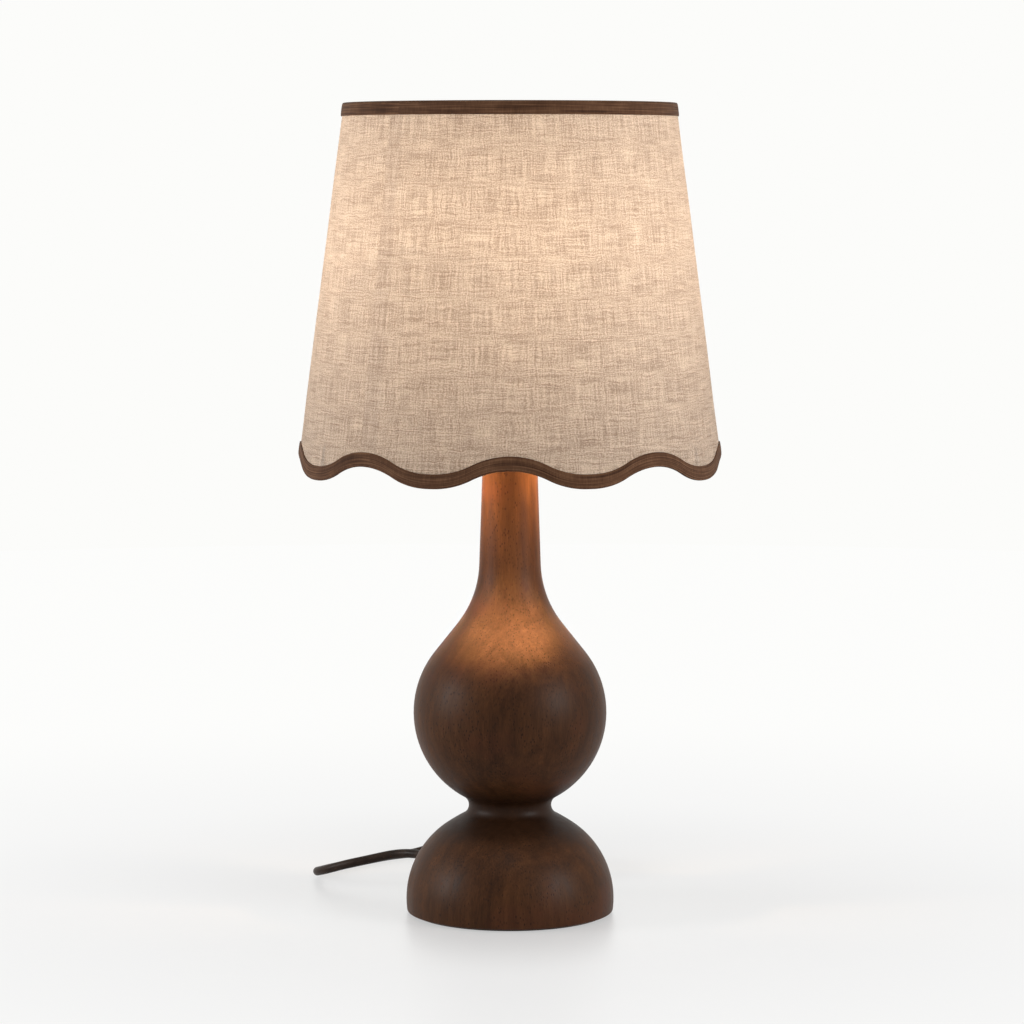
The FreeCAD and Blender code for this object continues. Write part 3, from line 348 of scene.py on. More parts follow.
def walnut():
    """Dark satin walnut, its grain running up the lamp.  The pattern is solid, so that it
    runs on from face to face as it does in turned wood."""
    material, tree = new_material("walnut_satin")
    place = object_place(tree)
    swayed = swaying(tree, place, (9.0, 9.0, 3.0), 2.0, 0.022)
    parts = add(tree, "ShaderNodeSeparateXYZ", {0: swayed})
    x = math_node(tree, "SUBTRACT", parts.outputs["X"], PITH[0])
    y = math_node(tree, "SUBTRACT", parts.outputs["Y"], PITH[1])
    ring = math_node(tree, "SQRT", math_node(tree, "ADD", math_node(tree, "MULTIPLY", x, x),
                                             math_node(tree, "MULTIPLY", y, y)))
    growth = add(tree, "ShaderNodeTexNoise", {"W": ring, "Scale": 170.0, "Detail": 3.0, "Roughness": 0.6},
                 noise_dimensions="1D").outputs["Fac"]
    streaks = noise_at(tree, scaled(tree, place, (190.0, 190.0, 14.0)),
                       detail=4.0, roughness=0.6, distortion=0.4)
    fibres = noise_at(tree, scaled(tree, place, (1200.0, 1200.0, 110.0)), detail=2.0, roughness=0.6)
    blotch = noise_at(tree, scaled(tree, place, (34.0, 34.0, 20.0)), detail=3.0, distortion=0.6)
    tone = weighted(tree, (growth, 0.20), (streaks, 0.32), (blotch, 0.24), (fibres, 0.24))
    base = ramp(tree, tone, [(0.38, (0.026, 0.0098, 0.0038)), (0.47, (0.040, 0.0152, 0.0056)),
                             (0.54, (0.051, 0.0196, 0.0072)), (0.64, (0.074, 0.0285, 0.0102))])
    red = noise_at(tree, scaled(tree, place, (24.0, 24.0, 30.0), (0.3, 0.9, 0.1)), detail=3.0)
    red = math_node(tree, "MULTIPLY", span(tree, red, 0.5, 0.72), 0.45)
    base = mixed(tree, red, base, (0.066, 0.0205, 0.0090))
    pore_cells = add(tree, "ShaderNodeTexVoronoi", {"Vector": scaled(tree, place, (720.0, 720.0, 300.0)),
                                                    "Scale": 1.0, "Randomness": 1.0})
    pore = span(tree, pore_cells.outputs["Distance"], 0.10, 0.34)
    many = span(tree, noise_at(tree, scaled(tree, place, (70.0, 70.0, 40.0)), detail=2.0), 0.36, 0.60)
    pore = math_node(tree, "MAXIMUM", pore, math_node(tree, "SUBTRACT", 1.0, many))
    base = mixed(tree, pore, PORE_COLOUR, base)
    z = axis_of(tree, place, "Z")
    # painted shade: the band between the ball and the foot is darkened, where the ball shades it
    painted_cove_shade = math_node(tree, "MULTIPLY", span(tree, z, *COVE_SHADE_LOW), span(tree, z, *COVE_SHADE_HIGH, 1.0, 0.0))
    base = mixed(tree, math_node(tree, "MULTIPLY", painted_cove_shade, 0.72), base, COVE_SHADE_COLOUR)
    rough = span(tree, streaks, 0.3, 0.7, 0.42, 0.50)
    height = math_node(tree, "ADD", pore, math_node(tree, "MULTIPLY", fibres, 0.25))
    finish_material(tree, principled(tree, base, rough, Normal=bumped(tree, height, 0.05 * MM),
                                     Specular_IOR_Level=0.09))
    return material


# ---------------------------------------------------------------- cloth of the shade
LINEN_MIX = 0.45              # share of the light that the linen lets through
SEAM_START = 0.5 * MM         # U at which the seam's double cloth begins


def linen():
    """Unbleached slub linen over a film: it lets the bulb's light through and scatters it.
    U runs along the weft and V up the warp, both in metres."""
    material, tree = new_material("linen_slub")
    flat = add(tree, "ShaderNodeTexCoord").outputs["UV"]
    uv = swaying(tree, flat, (38.0, 38.0, 1.0), 0.0, 0.002)

    def layer(scale, offset=(0.0, 0.0, 0.0), detail=1.0, cloth=uv):
        return noise_at(tree, scaled(tree, cloth, (*scale, 1.0), offset), detail=detail)

    grain = layer((1050.0, 1500.0))
    weft = layer((50.0, 1250.0), (3.1, 7.7, 0.0))
    warp = layer((1350.0, 46.0), (1.7, 2.3, 0.0))
    patch = layer((62.0, 85.0), (4.0, 1.0, 0.0), detail=2.0, cloth=flat)
    crinkle = layer((18.0, 150.0), (6.0, 3.0, 0.0))
    threads = weighted(tree, (grain, 0.36), (weft, 0.26), (warp, 0.25), (crinkle, 0.06), (patch, 0.07))
    dense = span(tree, threads, 0.405, 0.595, smooth=False)
    thick_weft = span(tree, layer((60.0, 900.0), (11.0, 2.0, 0.0)), 0.66, 0.76)
    thick_warp = span(tree, layer((900.0, 60.0), (5.0, 9.0, 0.0)), 0.67, 0.77)
    slub = math_node(tree, "MAXIMUM", thick_weft, thick_warp)
    reflect = mixed(tree, dense, (0.288, 0.221, 0.173), (0.656, 0.552, 0.456))
    reflect = mixed(tree, math_node(tree, "MULTIPLY", slub, 0.5), reflect, (0.24, 0.168, 0.115))
    through = mixed(tree, dense, (0.34, 0.229, 0.153), (0.66, 0.508, 0.374))
    through = mixed(tree, math_node(tree, "MULTIPLY", slub, 0.55), through, (0.28, 0.165, 0.100))
    thin = math_node(tree, "MULTIPLY", span(tree, patch, 0.60, 0.78), 0.30)
    through = mixed(tree, thin, through, (0.80, 0.665, 0.500))
    u = axis_of(tree, flat, "X")
    seam_end = SEAM_START + SEAM_LAP
    on_seam = math_node(tree, "MULTIPLY", span(tree, u, SEAM_START - 0.2 * MM, SEAM_START + 0.2 * MM),
                        span(tree, u, seam_end, seam_end + 1.0 * MM, 1.0, 0.0))
    through = mixed(tree, math_node(tree, "MULTIPLY", on_seam, 0.25), through, (0.24, 0.15, 0.10))
    normal = bumped(tree, threads, 0.5 * MM, 0.6)
    cloth = principled(tree, reflect, 0.9, Normal=normal, Sheen_Weight=0.19, Sheen_Roughness=0.5,
                       Specular_IOR_Level=0.32)
    glow = add(tree, "ShaderNodeBsdfTranslucent", {"Color": through, "Normal": normal}).outputs[0]
    finish_material(tree, mixed_shader(tree, LINEN_MIX, cloth, glow))
    return material


def tape():
    """Brown cotton tape: fine ribs along its length, cross threads, a little sheen."""
    material, tree = new_material("binding_tape")
    uv = add(tree, "ShaderNodeTexCoord").outputs["UV"]
    ribs = noise_at(tree, scaled(tree, uv, (16.0, 1500.0, 1.0)), detail=2.0, roughness=0.6)
    cross = noise_at(tree, scaled(tree, uv, (1500.0, 160.0, 1.0)), detail=1.0)
    cloud = noise_at(tree, scaled(tree, uv, (70.0, 120.0, 1.0)), detail=3.0)
    value = weighted(tree, (ribs, 0.64), (cross, 0.16), (cloud, 0.20))
    base = ramp(tree, value, [(0.37, (0.034, 0.0130, 0.0055)), (0.50, (0.084, 0.0370, 0.0175)),
                              (0.63, (0.155, 0.0780, 0.0410))])
    finish_material(tree, principled(tree, base, 0.82, Normal=bumped(tree, value, 0.35 * MM, 0.8),
                                     Sheen_Weight=0.05, Specular_IOR_Level=0.12))
    return material


def liner_film():
    """White film that the linen is laminated on; seen only inside the shade."""
    material, tree = new_material("liner_film")
    place = object_place(tree)
    cloud = noise_at(tree, place, detail=3.0, scale=40.0)
    base = mixed(tree, span(tree, cloud, 0.3, 0.7), (0.42, 0.38, 0.32), (0.46, 0.42, 0.36))
    finish_material(tree, principled(tree, base, span(tree, cloud, 0.3, 0.7, 0.5, 0.62),
                                     Normal=bumped(tree, cloud, 0.4 * MM)))
    return material


BULB_GLOW = 0.6               # strength at which the lit glass shows


def opal_glass():
    """Opal bulb, lit."""
    material, tree = new_material("opal_lit")
    place = object_place(tree)
    cloud = noise_at(tree, place, detail=2.0, scale=60.0)
    glow = mixed(tree, span(tree, cloud, 0.3, 0.7), (1.0, 0.80, 0.56), (1.0, 0.86, 0.66))
    finish_material(tree, principled(tree, (0.72, 0.68, 0.62), span(tree, cloud, 0.3, 0.7, 0.12, 0.2),
                                     Emission_Color=glow, Emission_Strength=BULB_GLOW))
    return material


def flex_skin():
    """Smooth dark-brown PVC of the flex."""
    material, tree = new_material("flex_pvc")
    place = object_place(tree)
    cloud = noise_at(tree, place, detail=3.0, scale=120.0)
    fine = noise_at(tree, place, detail=2.0, scale=1200.0)
    base = mixed(tree, span(tree, cloud, 0.3, 0.7), (0.020, 0.0125, 0.0095), (0.034, 0.0215, 0.0160))
    finish_material(tree, principled(tree, base, span(tree, cloud, 0.3, 0.7, 0.36, 0.46),
                                     Normal=bumped(tree, fine, 0.04 * MM), Specular_IOR_Level=0.08))
    return material


# ---------------------------------------------------------------- free flex
FLEX = flex_skin()


def cord_curve(name, points):
    """Round flex along a smooth curve; the points are in millimetres."""
    curve = bpy.data.curves.new(name, "CURVE")
    curve.dimensions = "3D"
    curve.bevel_depth = CORD_R
    curve.bevel_resolution = 7
    curve.resolution_u = 10
    curve.use_fill_caps = True
    spline = curve.splines.new("NURBS")
    spline.points.add(len(points) - 1)
    for point, place in zip(spline.points, points):
        point.co = (*(c * MM for c in place), 1.0)
    spline.order_u = 3
    spline.use_endpoint_u = True
    cord = bpy.data.objects.new(name, curve)
    scene.collection.objects.link(cord)
    cord.data.materials.append(FLEX)
    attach(cord, "lamp_base")
    return cord


# control points: from the gland to the switch, from the switch to the coil, from the coil to the plug
LEAD_ROUTE = [(-55.28, 61.39, 23.2), (-65.98, 73.28, 23.2), (-92.7, 76.9, 16.6), (-103.0, 79.3, 14.0),
              (-116.4, 86.9, 9.0), (-123.2, 100.5, 5.2), (-122.0, 115.7, 2.8), (-112.2, 129.2, 2.8),
              (-85.1, 161.3, 2.8), (-73.9, 171.3, 2.8), (-60.0, 178.0, 2.8), (-49.0, 181.0, 7.0)]
LINK_ROUTE = [(9.0, 181.0, 7.0), (26.0, 181.0, 3.9), (40.7, 172.5, 3.3), (49.2, 157.8, 3.3),
              (48.2, 140.8, 3.3)]
TAIL_ROUTE = [(-12.5, 156.1, 8.9), (6.5, 163.8, 13.0), (25.8, 161.3, 14.5), (37.5, 153.5, 14.5),
              (48.2, 139.5, 14.5), (49.2, 121.0, 14.5), (38.59, 103.68, 15.55), (19.79, 96.84, 18.55)]
COIL_SLOTS = [(39.2, 3.3), (33.6, 3.3), (28.0, 3.3), (28.0, 8.9), (33.6, 8.9), (39.2, 8.9)]    # radius, height
COIL_START = 23.7             # degrees from +X, where the flex joins the outer turn
COIL_SWEEP = 360.0 * 5 + 258.7
COIL_POINTS_PER_TURN = 16
SHIFT_FROM, SHIFT_TO = 245.0, 335.0    # part of a turn where the flex moves to its next place


def smooth_step(share):
    share = min(1.0, max(0.0, share))
    return share * share * (3 - 2 * share)


def coil_points():
    """Control points of the wound turns, clockwise seen from above."""
    count = round(COIL_SWEEP / 360.0 * COIL_POINTS_PER_TURN)
    # the curve cuts inside its control points, so these stand further out
    outward = 2.0 / (1.0 + math.cos(2 * math.pi / COIL_POINTS_PER_TURN))
    points = []
    for k in range(1, count):
        swept = COIL_SWEEP * k / count
        turn, within = divmod(swept, 360.0)
        here = COIL_SLOTS[int(turn)]
        after = COIL_SLOTS[min(int(turn) + 1, len(COIL_SLOTS) - 1)]
        t = smooth_step((within - SHIFT_FROM) / (SHIFT_TO - SHIFT_FROM))
        radius = (here[0] + (after[0] - here[0]) * t) * outward
        height = here[1] + (after[1] - here[1]) * t
        angle = math.radians(COIL_START - swept)
        points.append((COIL_CENTRE.x / MM + radius * math.cos(angle),
                       COIL_CENTRE.y / MM + radius * math.sin(angle), height))
    return points


lead = cord_curve("flex_lead", LEAD_ROUTE)
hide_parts("cord_lead")
tail = cord_curve("flex_tail", LINK_ROUTE + coil_points() + TAIL_ROUTE)
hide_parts("cord_link", "cord_coil", "cord_tail")


# ---------------------------------------------------------------- shade
CLOTH_COLUMNS = 540
CLOTH_ROWS = 96
LAP_STEP = 0.55 * MM          # how far the lap's cut edge stands off the cloth under it
BAND_COLUMNS = 720
WELD_DISTANCE = 1e-6


def linen_radius(z):
    """Outer radius of the linen's cone at a height."""
    return SHADE_BOTTOM_R - SHADE_SLOPE * (z - SCALLOP_Z)


def front_angle(degrees):
    """Angle about Z, in radians, of an azimuth counted from the front towards +X."""
    return math.radians(degrees - 90.0)


def scallop_z(angle):
    """Height of the scalloped line; a high point faces the front.  Each scallop is made of
    arcs of one radius, with a level bit at the low point between two scallops."""
    past_low = (math.degrees(angle) + 90.0 + SCALLOP_SPANS[0] / 2) % 360.0
    for width in SCALLOP_SPANS:
        if past_low < width:
            break
        past_low -= width
    half = math.radians(width / 2)
    aside = abs(SHADE_BOTTOM_R * math.sin(math.radians(past_low) - half))
    reach = (SHADE_BOTTOM_R - SKIN_T / 2) * math.sin(half) - SCALLOP_LEVEL
    quarter = reach / 2
    bend_r = quarter / math.sin(2 * math.atan(SCALLOP_RISE / quarter))
    if aside < quarter:
        return SCALLOP_Z + SCALLOP_RISE - bend_r + math.sqrt(bend_r ** 2 - aside ** 2)
    short = max(0.0, reach - aside)
    return SCALLOP_Z - SCALLOP_RISE + bend_r - math.sqrt(bend_r ** 2 - short ** 2)


def noise_round(around, waves, height, depth):
    """Smooth unevenness round the shade, the same where the turn closes."""
    return noise.noise(Vector((math.cos(around) * waves, math.sin(around) * waves, height))) * depth


def cloth_lift(around, height):
    """How far the laminated linen stands off the cone: soft ripples, and the lap at the seam."""
    ripple = noise_round(around, 3.2, height * 9.0, 0.32 * MM)
    ripple += noise_round(around, 9.0, height * 34.0, 0.14 * MM)
    u = around * MEAN_R
    lap = LAP_STEP * (1.0 - u / SEAM_LAP) if u < SEAM_LAP else 0.0
    return ripple + lap


def build_linen():
    """Mesh of the cloth, as (vertices, faces, uv); it starts and ends at the seam."""
    vertices, uv = [], []
    # the cut edge of the lap is a step, so the first columns lie close together
    edge = [0.0, 0.0006, 0.0016, 0.004, 0.008, 0.012]
    even = [k / CLOTH_COLUMNS for k in range(CLOTH_COLUMNS)]
    columns = edge + [share for share in even if share > 0.013] + [1.0]
    for row in range(CLOTH_ROWS + 1):
        t = row / CLOTH_ROWS
        # the bindings hold the cloth to the rings, so it ripples less there
        free = min(1.0, 6.0 * t + 0.2, 8.0 * (1.0 - t) + 0.2)
        for share in columns:
            around = 2 * math.pi * share
            angle = front_angle(SEAM_AZIMUTH) + around
            low = scallop_z(angle)
            z = low + t * (SHADE_TOP_Z - low)
            radius = linen_radius(z) + cloth_lift(around, z) * free
            vertices.append((radius * math.cos(angle), radius * math.sin(angle), z))
            uv.append((around * MEAN_R, z - SCALLOP_Z))
    return vertices, grid_faces(CLOTH_ROWS + 1, len(columns)), uv


vertices, faces, uv = build_linen()
LINEN = linen()
cloth = new_piece("linen", vertices, faces, "shade", LINEN, 60.0, uv)
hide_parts("shade_linen")

TAPE = tape()


def weld(piece):
    """Joins vertices that share a place."""
    mesh = bmesh.new()
    mesh.from_mesh(piece.data)
    bmesh.ops.remove_doubles(mesh, verts=mesh.verts, dist=WELD_DISTANCE)
    mesh.to_mesh(piece.data)
    mesh.free()


def closed_band(name, section, line, replaced):
    """Ring of tape: section is a closed list of (outward, up), line gives the height it is
    counted from at each angle."""
    vertices, uv = [], []
    lengths = [0.0]
    for a, b in zip(section, section[1:] + section[:1]):
        lengths.append(lengths[-1] + math.dist(a, b))
    for k in range(BAND_COLUMNS + 1):
        around = 2 * math.pi * k / BAND_COLUMNS
        angle = front_angle(SEAM_AZIMUTH + 4.0) + around
        slack = noise_round(around, 14.0, 0.7, 0.12 * MM)
        base = line(angle)
        for j, (outward, up) in enumerate(section + section[:1]):
            z = base + up
            radius = linen_radius(z) + outward + (slack if outward > 0.3 * MM else 0.0)
            vertices.append((radius * math.cos(angle), radius * math.sin(angle), z))
            uv.append((around * SHADE_BOTTOM_R, lengths[j]))
    # the last column and the last row repeat the first for the UVs' sake, and are welded to them
    faces = [tuple(reversed(f)) for f in grid_faces(BAND_COLUMNS + 1, len(section) + 1)]
    band = new_piece(name, vertices, faces, "shade", TAPE, 50.0, uv)
    weld(band)
    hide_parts(replaced)
    return band


# sections of the tape, in millimetres outward from the linen and up from the line
BOTTOM_SECTION = [(o * MM, h * MM) for o, h in [
    (0.02, 7.60), (0.30, 7.72), (0.62, 7.62), (0.78, 7.2), (0.84, 6.2), (0.90, 4.6), (0.90, 3.0), (0.86, 1.4),
    (0.74, 0.3), (0.48, -0.42), (0.02, -0.74), (-0.70, -0.80), (-1.42, -0.74), (-1.90, -0.42), (-2.12, 0.3),
    (-2.20, 1.6), (-2.22, 4.4), (-2.20, 6.8), (-2.05, 7.5), (-1.80, 7.7), (-1.52, 7.55), (-1.44, 6.8),
    (-1.44, 3.4), (-1.42, 0.35), (-1.15, 0.05), (-0.70, 0.02), (-0.25, 0.05), (0.02, 0.35), (0.03, 3.6)]]
TOP_SECTION = [(o * MM, h * MM) for o, h in [
    (0.03, -7.10), (0.30, -7.22), (0.62, -7.10), (0.78, -6.6), (0.86, -5.4), (0.90, -3.8), (0.90, -2.2),
    (0.84, -0.6), (0.66, 0.28), (0.30, 0.66), (-0.30, 0.78), (-2.5, 0.80), (-4.4, 0.76), (-5.0, 0.55),
    (-5.30, 0.1), (-5.42, -1.0), (-5.44, -3.0), (-5.40, -4.5), (-5.20, -4.85), (-4.90, -4.9), (-4.70, -4.7),
    (-4.66, -3.0), (-4.64, -0.6), (-4.45, -0.08), (-4.0, -0.02), (-1.0, -0.02), (-0.15, -0.06), (0.02, -0.4),
    (0.03, -3.6)]]
band_low = closed_band("binding_scalloped", BOTTOM_SECTION, scallop_z, "bottom_binding")
band_top = closed_band("binding_top", TOP_SECTION, lambda angle: SHADE_TOP_Z, "top_binding")


# ---------------------------------------------------------------- gland, boot, tie, cap of the bulb
GLAND = plastic("gland_pvc", (0.036, 0.021, 0.014), 0.5)
TIE = fibre_board("tie_strap", (0.010, 0.010, 0.011), (0.030, 0.029, 0.030), 1400.0, 0.85, 0.15 * MM)
PLUG = plastic("plug_moulding", (0.040, 0.024, 0.017), 0.46, seam_z=PLUG_Z)
RIB_GAP = 1.1 * MM            # width of a sleeve's groove
RIB_DEPTH = 0.75 * MM


def in_mm(profile):
    return [(along * MM, radius * MM) for along, radius in profile]


def ribbed_taper(start, end, start_r, end_r, ribs):
    """Profile of a flexible sleeve: a taper with rounded grooves cut round it."""
    profile = []
    pitch = (end - start) / ribs
    # places within one rib, and how deep the profile is sunk there
    steps = ((0.0, 0.5), (0.12 * MM, 0.0), (pitch - RIB_GAP, 0.0), (pitch - 0.75 * RIB_GAP, 1.0),
             (pitch - 0.2 * RIB_GAP, 1.0))
    for k in range(ribs):
        for offset, sunk in steps:
            along = start + k * pitch + offset
            share = (along - start) / (end - start)
            profile.append((along, start_r + (end_r - start_r) * share - sunk * RIB_DEPTH))
    profile.append((end, end_r))
    return profile


gland_profile = in_mm([(0.0, 4.6), (0.0, 6.4), (0.35, 6.9), (0.9, 7.0), (1.9, 6.9), (2.4, 6.3), (2.5, 5.4)])
gland_profile += ribbed_taper(2.9 * MM, 21.6 * MM, 5.2 * MM, 3.8 * MM, 5)
gland_profile += in_mm([(22.3, 3.6), (22.5, 3.2), (22.5, 2.5)])
gland = lathe("gland_sleeve", gland_profile, GLAND_DIRECTION * GLAND_SEAT + Vector((0, 0, GLAND_Z)),
              GLAND_DIRECTION, "lamp_base", GLAND)
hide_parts("cord_gland")

boot_profile = in_mm([(0.0, 2.5), (0.0, 3.3), (0.3, 3.6)])
boot_profile += ribbed_taper(0.8 * MM, 18.6 * MM, 3.7 * MM, 5.45 * MM, 5)
boot_profile += [(19.2 * MM, 5.6 * MM), (BOOT_LENGTH, 5.6 * MM)]
boot = lathe("plug_boot_ribbed", boot_profile, PLUG_REAR - PLUG_DIRECTION * BOOT_LENGTH, PLUG_DIRECTION,
             "lamp_base", PLUG)
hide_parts("plug_boot")


def build_tie():
    """Woven strap pulled round the coil's six turns.  Lengths in here are in millimetres."""
    inner, outer, floor_side, top = 25.2, 42.0, 0.5, 11.7    # the strap's inside, about the turns
    corner, corner_steps = 2.8, 7
    path = []
    for cx, cz, start in ((outer - corner, top - corner, 0.0), (inner + corner, top - corner, 90.0),
                          (inner + corner, floor_side + corner, 180.0),
                          (outer - corner, floor_side + corner, 270.0)):
        for k in range(corner_steps + 1):
            a = math.radians(start + 90.0 * k / corner_steps)
            path.append(((cx, cz), (math.cos(a), math.sin(a))))
    out = level_direction(158.0)
    side = level_direction(248.0)
    section = [(-4.4, 0.02), (-4.5, 0.25), (-4.3, 0.46), (0.0, 0.5), (4.3, 0.46), (4.5, 0.25), (4.4, 0.02),
               (0.0, 0.0)]
    vertices = []
    for (cx, cz), (nx, nz) in path:
        for along, lift in section:
            r = (cx + nx * (corner + lift)) * MM
            z = (cz + nz * (corner + lift)) * MM
            vertices.append(COIL_CENTRE + out * r + side * along * MM + Vector((0, 0, z)))
    faces = [tuple(reversed(f)) for f in grid_faces(len(path), len(section), True, True)]
    return new_piece("coil_strap", vertices, faces, "lamp_base", TIE)


strap = build_tie()
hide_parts("cord_tie")


def screw_cap_profile(low, high, pitch, root, crest):
    """Rolled thread of a bulb's cap, drawn as rings."""
    samples_per_ridge = 14
    profile = [(low, root - 1.0 * MM), (low, root)]
    count = samples_per_ridge * round((high - low) / pitch)
    for k in range(count + 1):
        climbed = (high - low) * k / count
        wave = 0.5 - 0.5 * math.cos(2 * math.pi * climbed / pitch)
        profile.append((low + climbed, root + (crest - root) * wave))
    profile.append((high, root - 1.0 * MM))
    return profile


cap_low, cap_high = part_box("bulb_cap")
CAP = metal("bulb_cap_aluminium", (0.80, 0.81, 0.82), 0.3)
cap = lathe("bulb_screw_cap", screw_cap_profile(cap_low.z, cap_high.z, 3.0 * MM, 12.35 * MM, 13.0 * MM),
            (0, 0, 0), (0, 0, 1), "bulb", CAP)
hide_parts("bulb_cap")


RIDGES = 5
RIDGE_START = 8.5 * MM        # from the plug's rear
RIDGE_PITCH = 3.0 * MM
RIDGE_HALF_LENGTH = 8.5 * MM
RIDGE_HALF_WIDTH = 0.7 * MM
RIDGE_RISE = 0.45 * MM
RIDGE_SUNK = 0.1 * MM         # how deep a ridge's foot lies in the plug
RIDGE_ARC = 6                 # facets across a ridge


def plug_ridges():
    """Finger ridges across both flat faces of the plug."""
    vertices, faces = [], []
    row = RIDGE_ARC + 1
    for face in (1, -1):
        for k in range(RIDGES):
            along = RIDGE_START + RIDGE_PITCH * k
            start = len(vertices)
            for end in (-1, 1):
                for j in range(row):
                    a = math.pi * j / RIDGE_ARC
                    rise = PLUG_HALF_T - RIDGE_SUNK + RIDGE_RISE * math.sin(a)
                    vertices.append(PLUG_REAR + PLUG_DIRECTION * (along + RIDGE_HALF_WIDTH * math.cos(a))
                                    + PLUG_SIDE * end * RIDGE_HALF_LENGTH + Vector((0, 0, face * rise)))
            ridge = [(start + j, start + j + 1, start + row + j + 1, start + row + j)
                     for j in range(RIDGE_ARC)]
            ridge.append(tuple(start + j for j in reversed(range(row))))
            ridge.append(tuple(start + row + j for j in range(row)))
            ridge.append((start, start + row, start + 2 * row - 1, start + row - 1))
            faces.extend(ridge if face > 0 else [tuple(reversed(f)) for f in ridge])
    return new_piece("plug_ridges", vertices, faces, "lamp_base", PLUG, 30.0)


ridges = plug_ridges()


# ---------------------------------------------------------------- materials of the CAD nodes
BY_SLOT = {
    "walnut": walnut(),
    "felt": fibre_board("felt_brown", (0.035, 0.022, 0.015), (0.085, 0.058, 0.042), 1500.0, 0.97, 0.3 * MM),
    "hardboard": fibre_board("hardboard", (0.13, 0.075, 0.040), (0.24, 0.150, 0.085), 700.0, 0.9, 0.15 * MM),
    "steel_zinc": metal("steel_zinc", (0.62, 0.63, 0.66), 0.34),
    "iron": metal("cast_iron", (0.22, 0.22, 0.23), 0.6, dull=0.15, grain=(300.0, 300.0, 300.0)),
    "brass": metal("brass", (0.78, 0.56, 0.25), 0.28),
    "holder_black": plastic("holder_phenolic", (0.016, 0.016, 0.017), 0.38),
    "ceramic_white": ceramic("ceramic_white", (0.82, 0.80, 0.76)),
    "wire_brown": plastic("core_brown", (0.10, 0.045, 0.02), 0.45),
    "wire_blue": plastic("core_blue", (0.02, 0.07, 0.25), 0.45),
    "flex_brown": FLEX,
    "gland_brown": GLAND,
    "tie_black": TIE,
    "switch_brown": plastic("switch_case", (0.040, 0.024, 0.017), 0.42, seam_z=SWITCH_Z),
    "rocker_brown": plastic("switch_rocker_skin", (0.060, 0.038, 0.027), 0.36),
    "plug_brown": PLUG,
    "pin_nickel": metal("pin_nickel", (0.72, 0.70, 0.66), 0.2),
    "linen": LINEN,
    "liner": liner_film(),
    "binding": TAPE,
    "wire_white": plastic("wire_enamel", (0.78, 0.77, 0.74), 0.4),
    "opal_glass": opal_glass(),
    "cap_aluminium": CAP,
    "bulb_insulator": ceramic("insulator_black", (0.02, 0.02, 0.022)),
}
for entry in frame["record"]["subparts"]:
    obj = nodes[entry["node"]]
    obj.data.materials.clear()
    obj.data.materials.append(BY_SLOT[entry["material_slot"]])


# ---------------------------------------------------------------- light and studio
LAMP_POWER = 1.11
LAMP_COLOUR = (1.0, 0.93, 0.84)
LAMP_PLACE = (0.0, 0.0, 0.3998)
LAMP_R = 0.029                # the glass's radius
DAYLIGHT = (0.98, 0.99, 1.0)
STUDIO_AIM = Vector((0.0, 0.0, 0.2))

bulb_light_data = bpy.data.lights.new("bulb_light", "POINT")
bulb_light_data.energy = LAMP_POWER
bulb_light_data.color = LAMP_COLOUR
bulb_light_data.shadow_soft_size = LAMP_R
bulb_light = bpy.data.objects.new("bulb_light", bulb_light_data)
bulb_light.location = LAMP_PLACE
scene.collection.objects.link(bulb_light)
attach(bulb_light, "bulb")


def area_light(name, shape, size, place, back, energy, colour):
    """Flat light at a place; back points from what it lights to the light."""
    data = bpy.data.lights.new(name, "AREA")
    data.shape = shape
    data.size = size
    data.energy = energy
    data.color = colour
    lamp = bpy.data.objects.new(name, data)
    lamp.location = place
    lamp.rotation_euler = back.to_track_quat("Z", "Y").to_euler()
    scene.collection.objects.link(lamp)
    return lamp


def inside_light(name, place, aim, wide, deep, spread, energy, colour=LAMP_COLOUR):
    """Part of the bulb's light, sent where the shade's lining and lower opening send it."""
    lamp = area_light(name, "ELLIPSE", wide, place, Vector(place) - Vector(aim), energy, colour)
    lamp.data.size_y = deep
    lamp.data.spread = math.radians(spread)
    lamp.visible_camera = False
    lamp.visible_glossy = False
    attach(lamp, "bulb")


inside_light("bulb_down", (0.0, 0.0, 0.395), (0.0, 0.0, 0.1), 0.066, 0.066, 14.0, 0.25)
inside_light("bulb_down_front", (-0.001, -0.056, 0.395), (-0.001, -0.030, 0.160), 0.054, 0.038, 5.0, 0.036)
for side, label in ((-1, "left"), (1, "right")):
    inside_light("lining_" + label, (side * 0.075, -0.035, 0.322), (0.0, -0.004, 0.252),
                 0.016, 0.016, 56.0, 0.122, (1.0, 0.70, 0.42))
# the bulb's light passes its own glass, the film behind the linen and the two rings
for name in ("bulb_glass", "shade_liner", "bottom_wire", "top_wire"):
    nodes[name].visible_shadow = False
nodes["shade_liner"].visible_diffuse = False


def softbox(name, azimuth, elevation, distance, size, energy, colour=(1.0, 1.0, 1.0)):
    """Square lamp aimed at the middle of the lamp; azimuth counts from the front towards +X."""
    e = math.radians(elevation)
    back = level_direction(azimuth - 90.0) * math.cos(e) + Vector((0.0, 0.0, math.sin(e)))
    area_light(name, "SQUARE", size, STUDIO_AIM + back * distance, back, energy, colour)


softbox("softbox_left", -79.0, 13.0, 1.5, 0.50, 16.5, DAYLIGHT)
softbox("softbox_right", 60.0, 15.0, 1.5, 0.50, 16.5, DAYLIGHT)
softbox("softbox_top", 0.0, 62.0, 1.9, 0.9, 7.5)

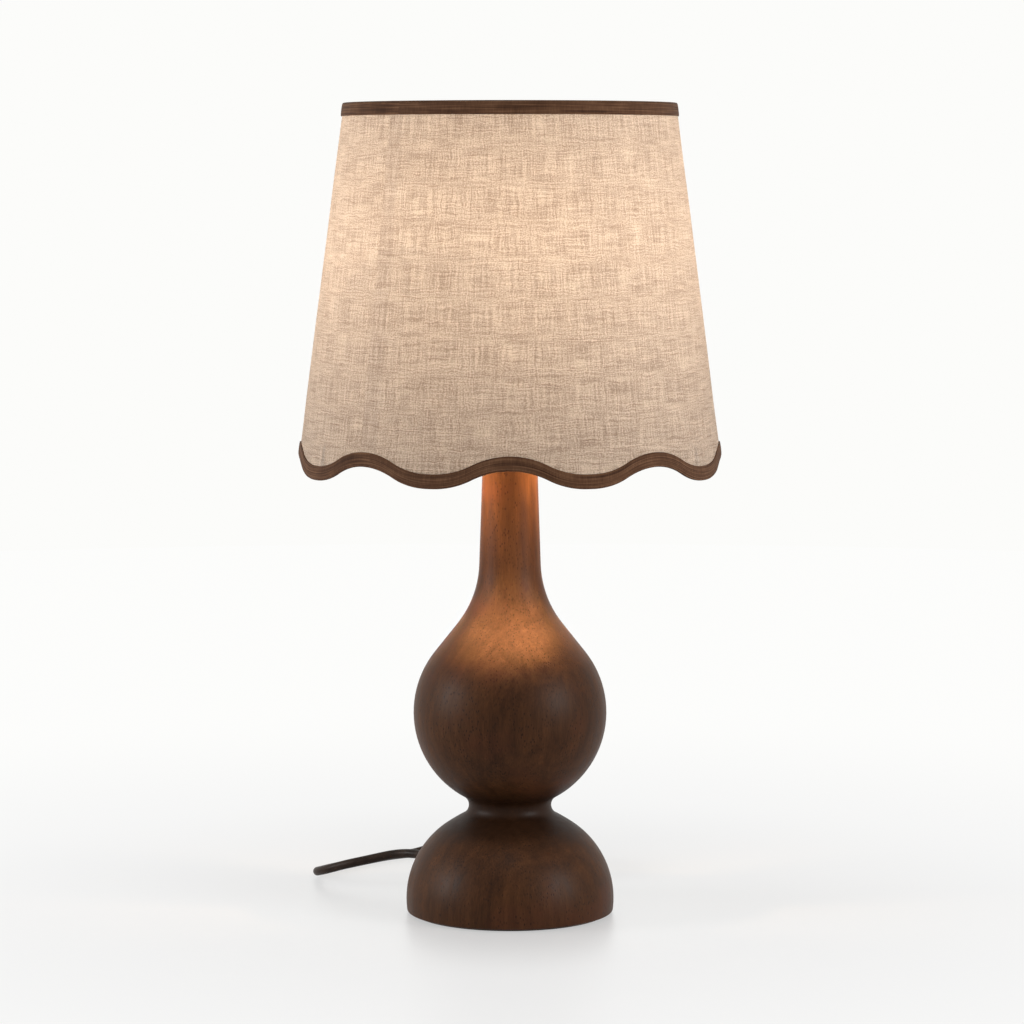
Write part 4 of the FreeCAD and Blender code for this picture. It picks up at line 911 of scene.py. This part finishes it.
AMBIENT = 0.13                # what the pale surroundings add to the light on the lamp
BACKDROP = (0.973, 0.973, 0.956)
world = bpy.data.worlds.new("studio")
world.use_nodes = True
tree = world.node_tree
tree.nodes.clear()
_, seen = seen_rays(tree)
shown = add(tree, "ShaderNodeBackground", {"Color": BACKDROP, "Strength": 1.0}).outputs[0]
lit = add(tree, "ShaderNodeBackground", {"Color": (1.0, 1.0, 1.0), "Strength": AMBIENT}).outputs[0]
tree.links.new(mixed_shader(tree, seen, lit, shown), add(tree, "ShaderNodeOutputWorld").inputs["Surface"])
scene.world = world


def floor_material():
    """Pale table top that fades into the white studio with distance from the lamp."""
    material, tree = new_material("floor_pale")
    place = object_place(tree)
    away = add(tree, "ShaderNodeVectorMath", {0: place}, operation="LENGTH").outputs["Value"]
    rays, seen = seen_rays(tree)
    speckle = noise_at(tree, place, detail=3.0, scale=35.0)
    base = mixed(tree, span(tree, speckle, 0.3, 0.7), (0.80, 0.80, 0.80), (0.815, 0.815, 0.81))
    top = add(tree, "ShaderNodeBsdfDiffuse", {"Color": base}).outputs[0]
    pale = mixed(tree, span(tree, away, 0.2, 0.85), (0.905, 0.905, 0.903), (0.980, 0.980, 0.968))
    white = add(tree, "ShaderNodeEmission", {"Color": pale, "Strength": 1.0}).outputs[0]
    far = span(tree, away, 0.09, 0.42, 0.75, 1.0)
    matt = mixed_shader(tree, math_node(tree, "MULTIPLY", far, seen), top, white)
    sheen = add(tree, "ShaderNodeBsdfGlossy", {"Color": (0.98, 0.98, 0.98), "Roughness": 0.34}).outputs[0]
    near = span(tree, away, 0.055, 0.19, 0.31, 0.07)
    polish = math_node(tree, "MULTIPLY", rays.outputs["Is Camera Ray"], near)
    table = mixed_shader(tree, polish, matt, sheen)
    # seen from below, the table is left out so that the foot's underside shows
    below = add(tree, "ShaderNodeNewGeometry").outputs["Backfacing"]
    clear = add(tree, "ShaderNodeBsdfTransparent").outputs[0]
    finish_material(tree, mixed_shader(tree, below, table, clear))
    return material


FLOOR_R = 2.2
FLOOR_Z = -0.3 * MM           # just below the felt, so that the two faces don't fight
FLOOR_CORNERS = 96
floor_mesh = bpy.data.meshes.new("floor")
rim = [level_direction(360.0 * k / FLOOR_CORNERS) * FLOOR_R + Vector((0.0, 0.0, FLOOR_Z))
       for k in range(FLOOR_CORNERS)]
floor_mesh.from_pydata([tuple(place) for place in rim], [], [tuple(range(FLOOR_CORNERS))])
floor = bpy.data.objects.new("floor", floor_mesh)
scene.collection.objects.link(floor)
floor.data.materials.append(floor_material())


# ---------------------------------------------------------------- end
bpy.context.view_layer.update()
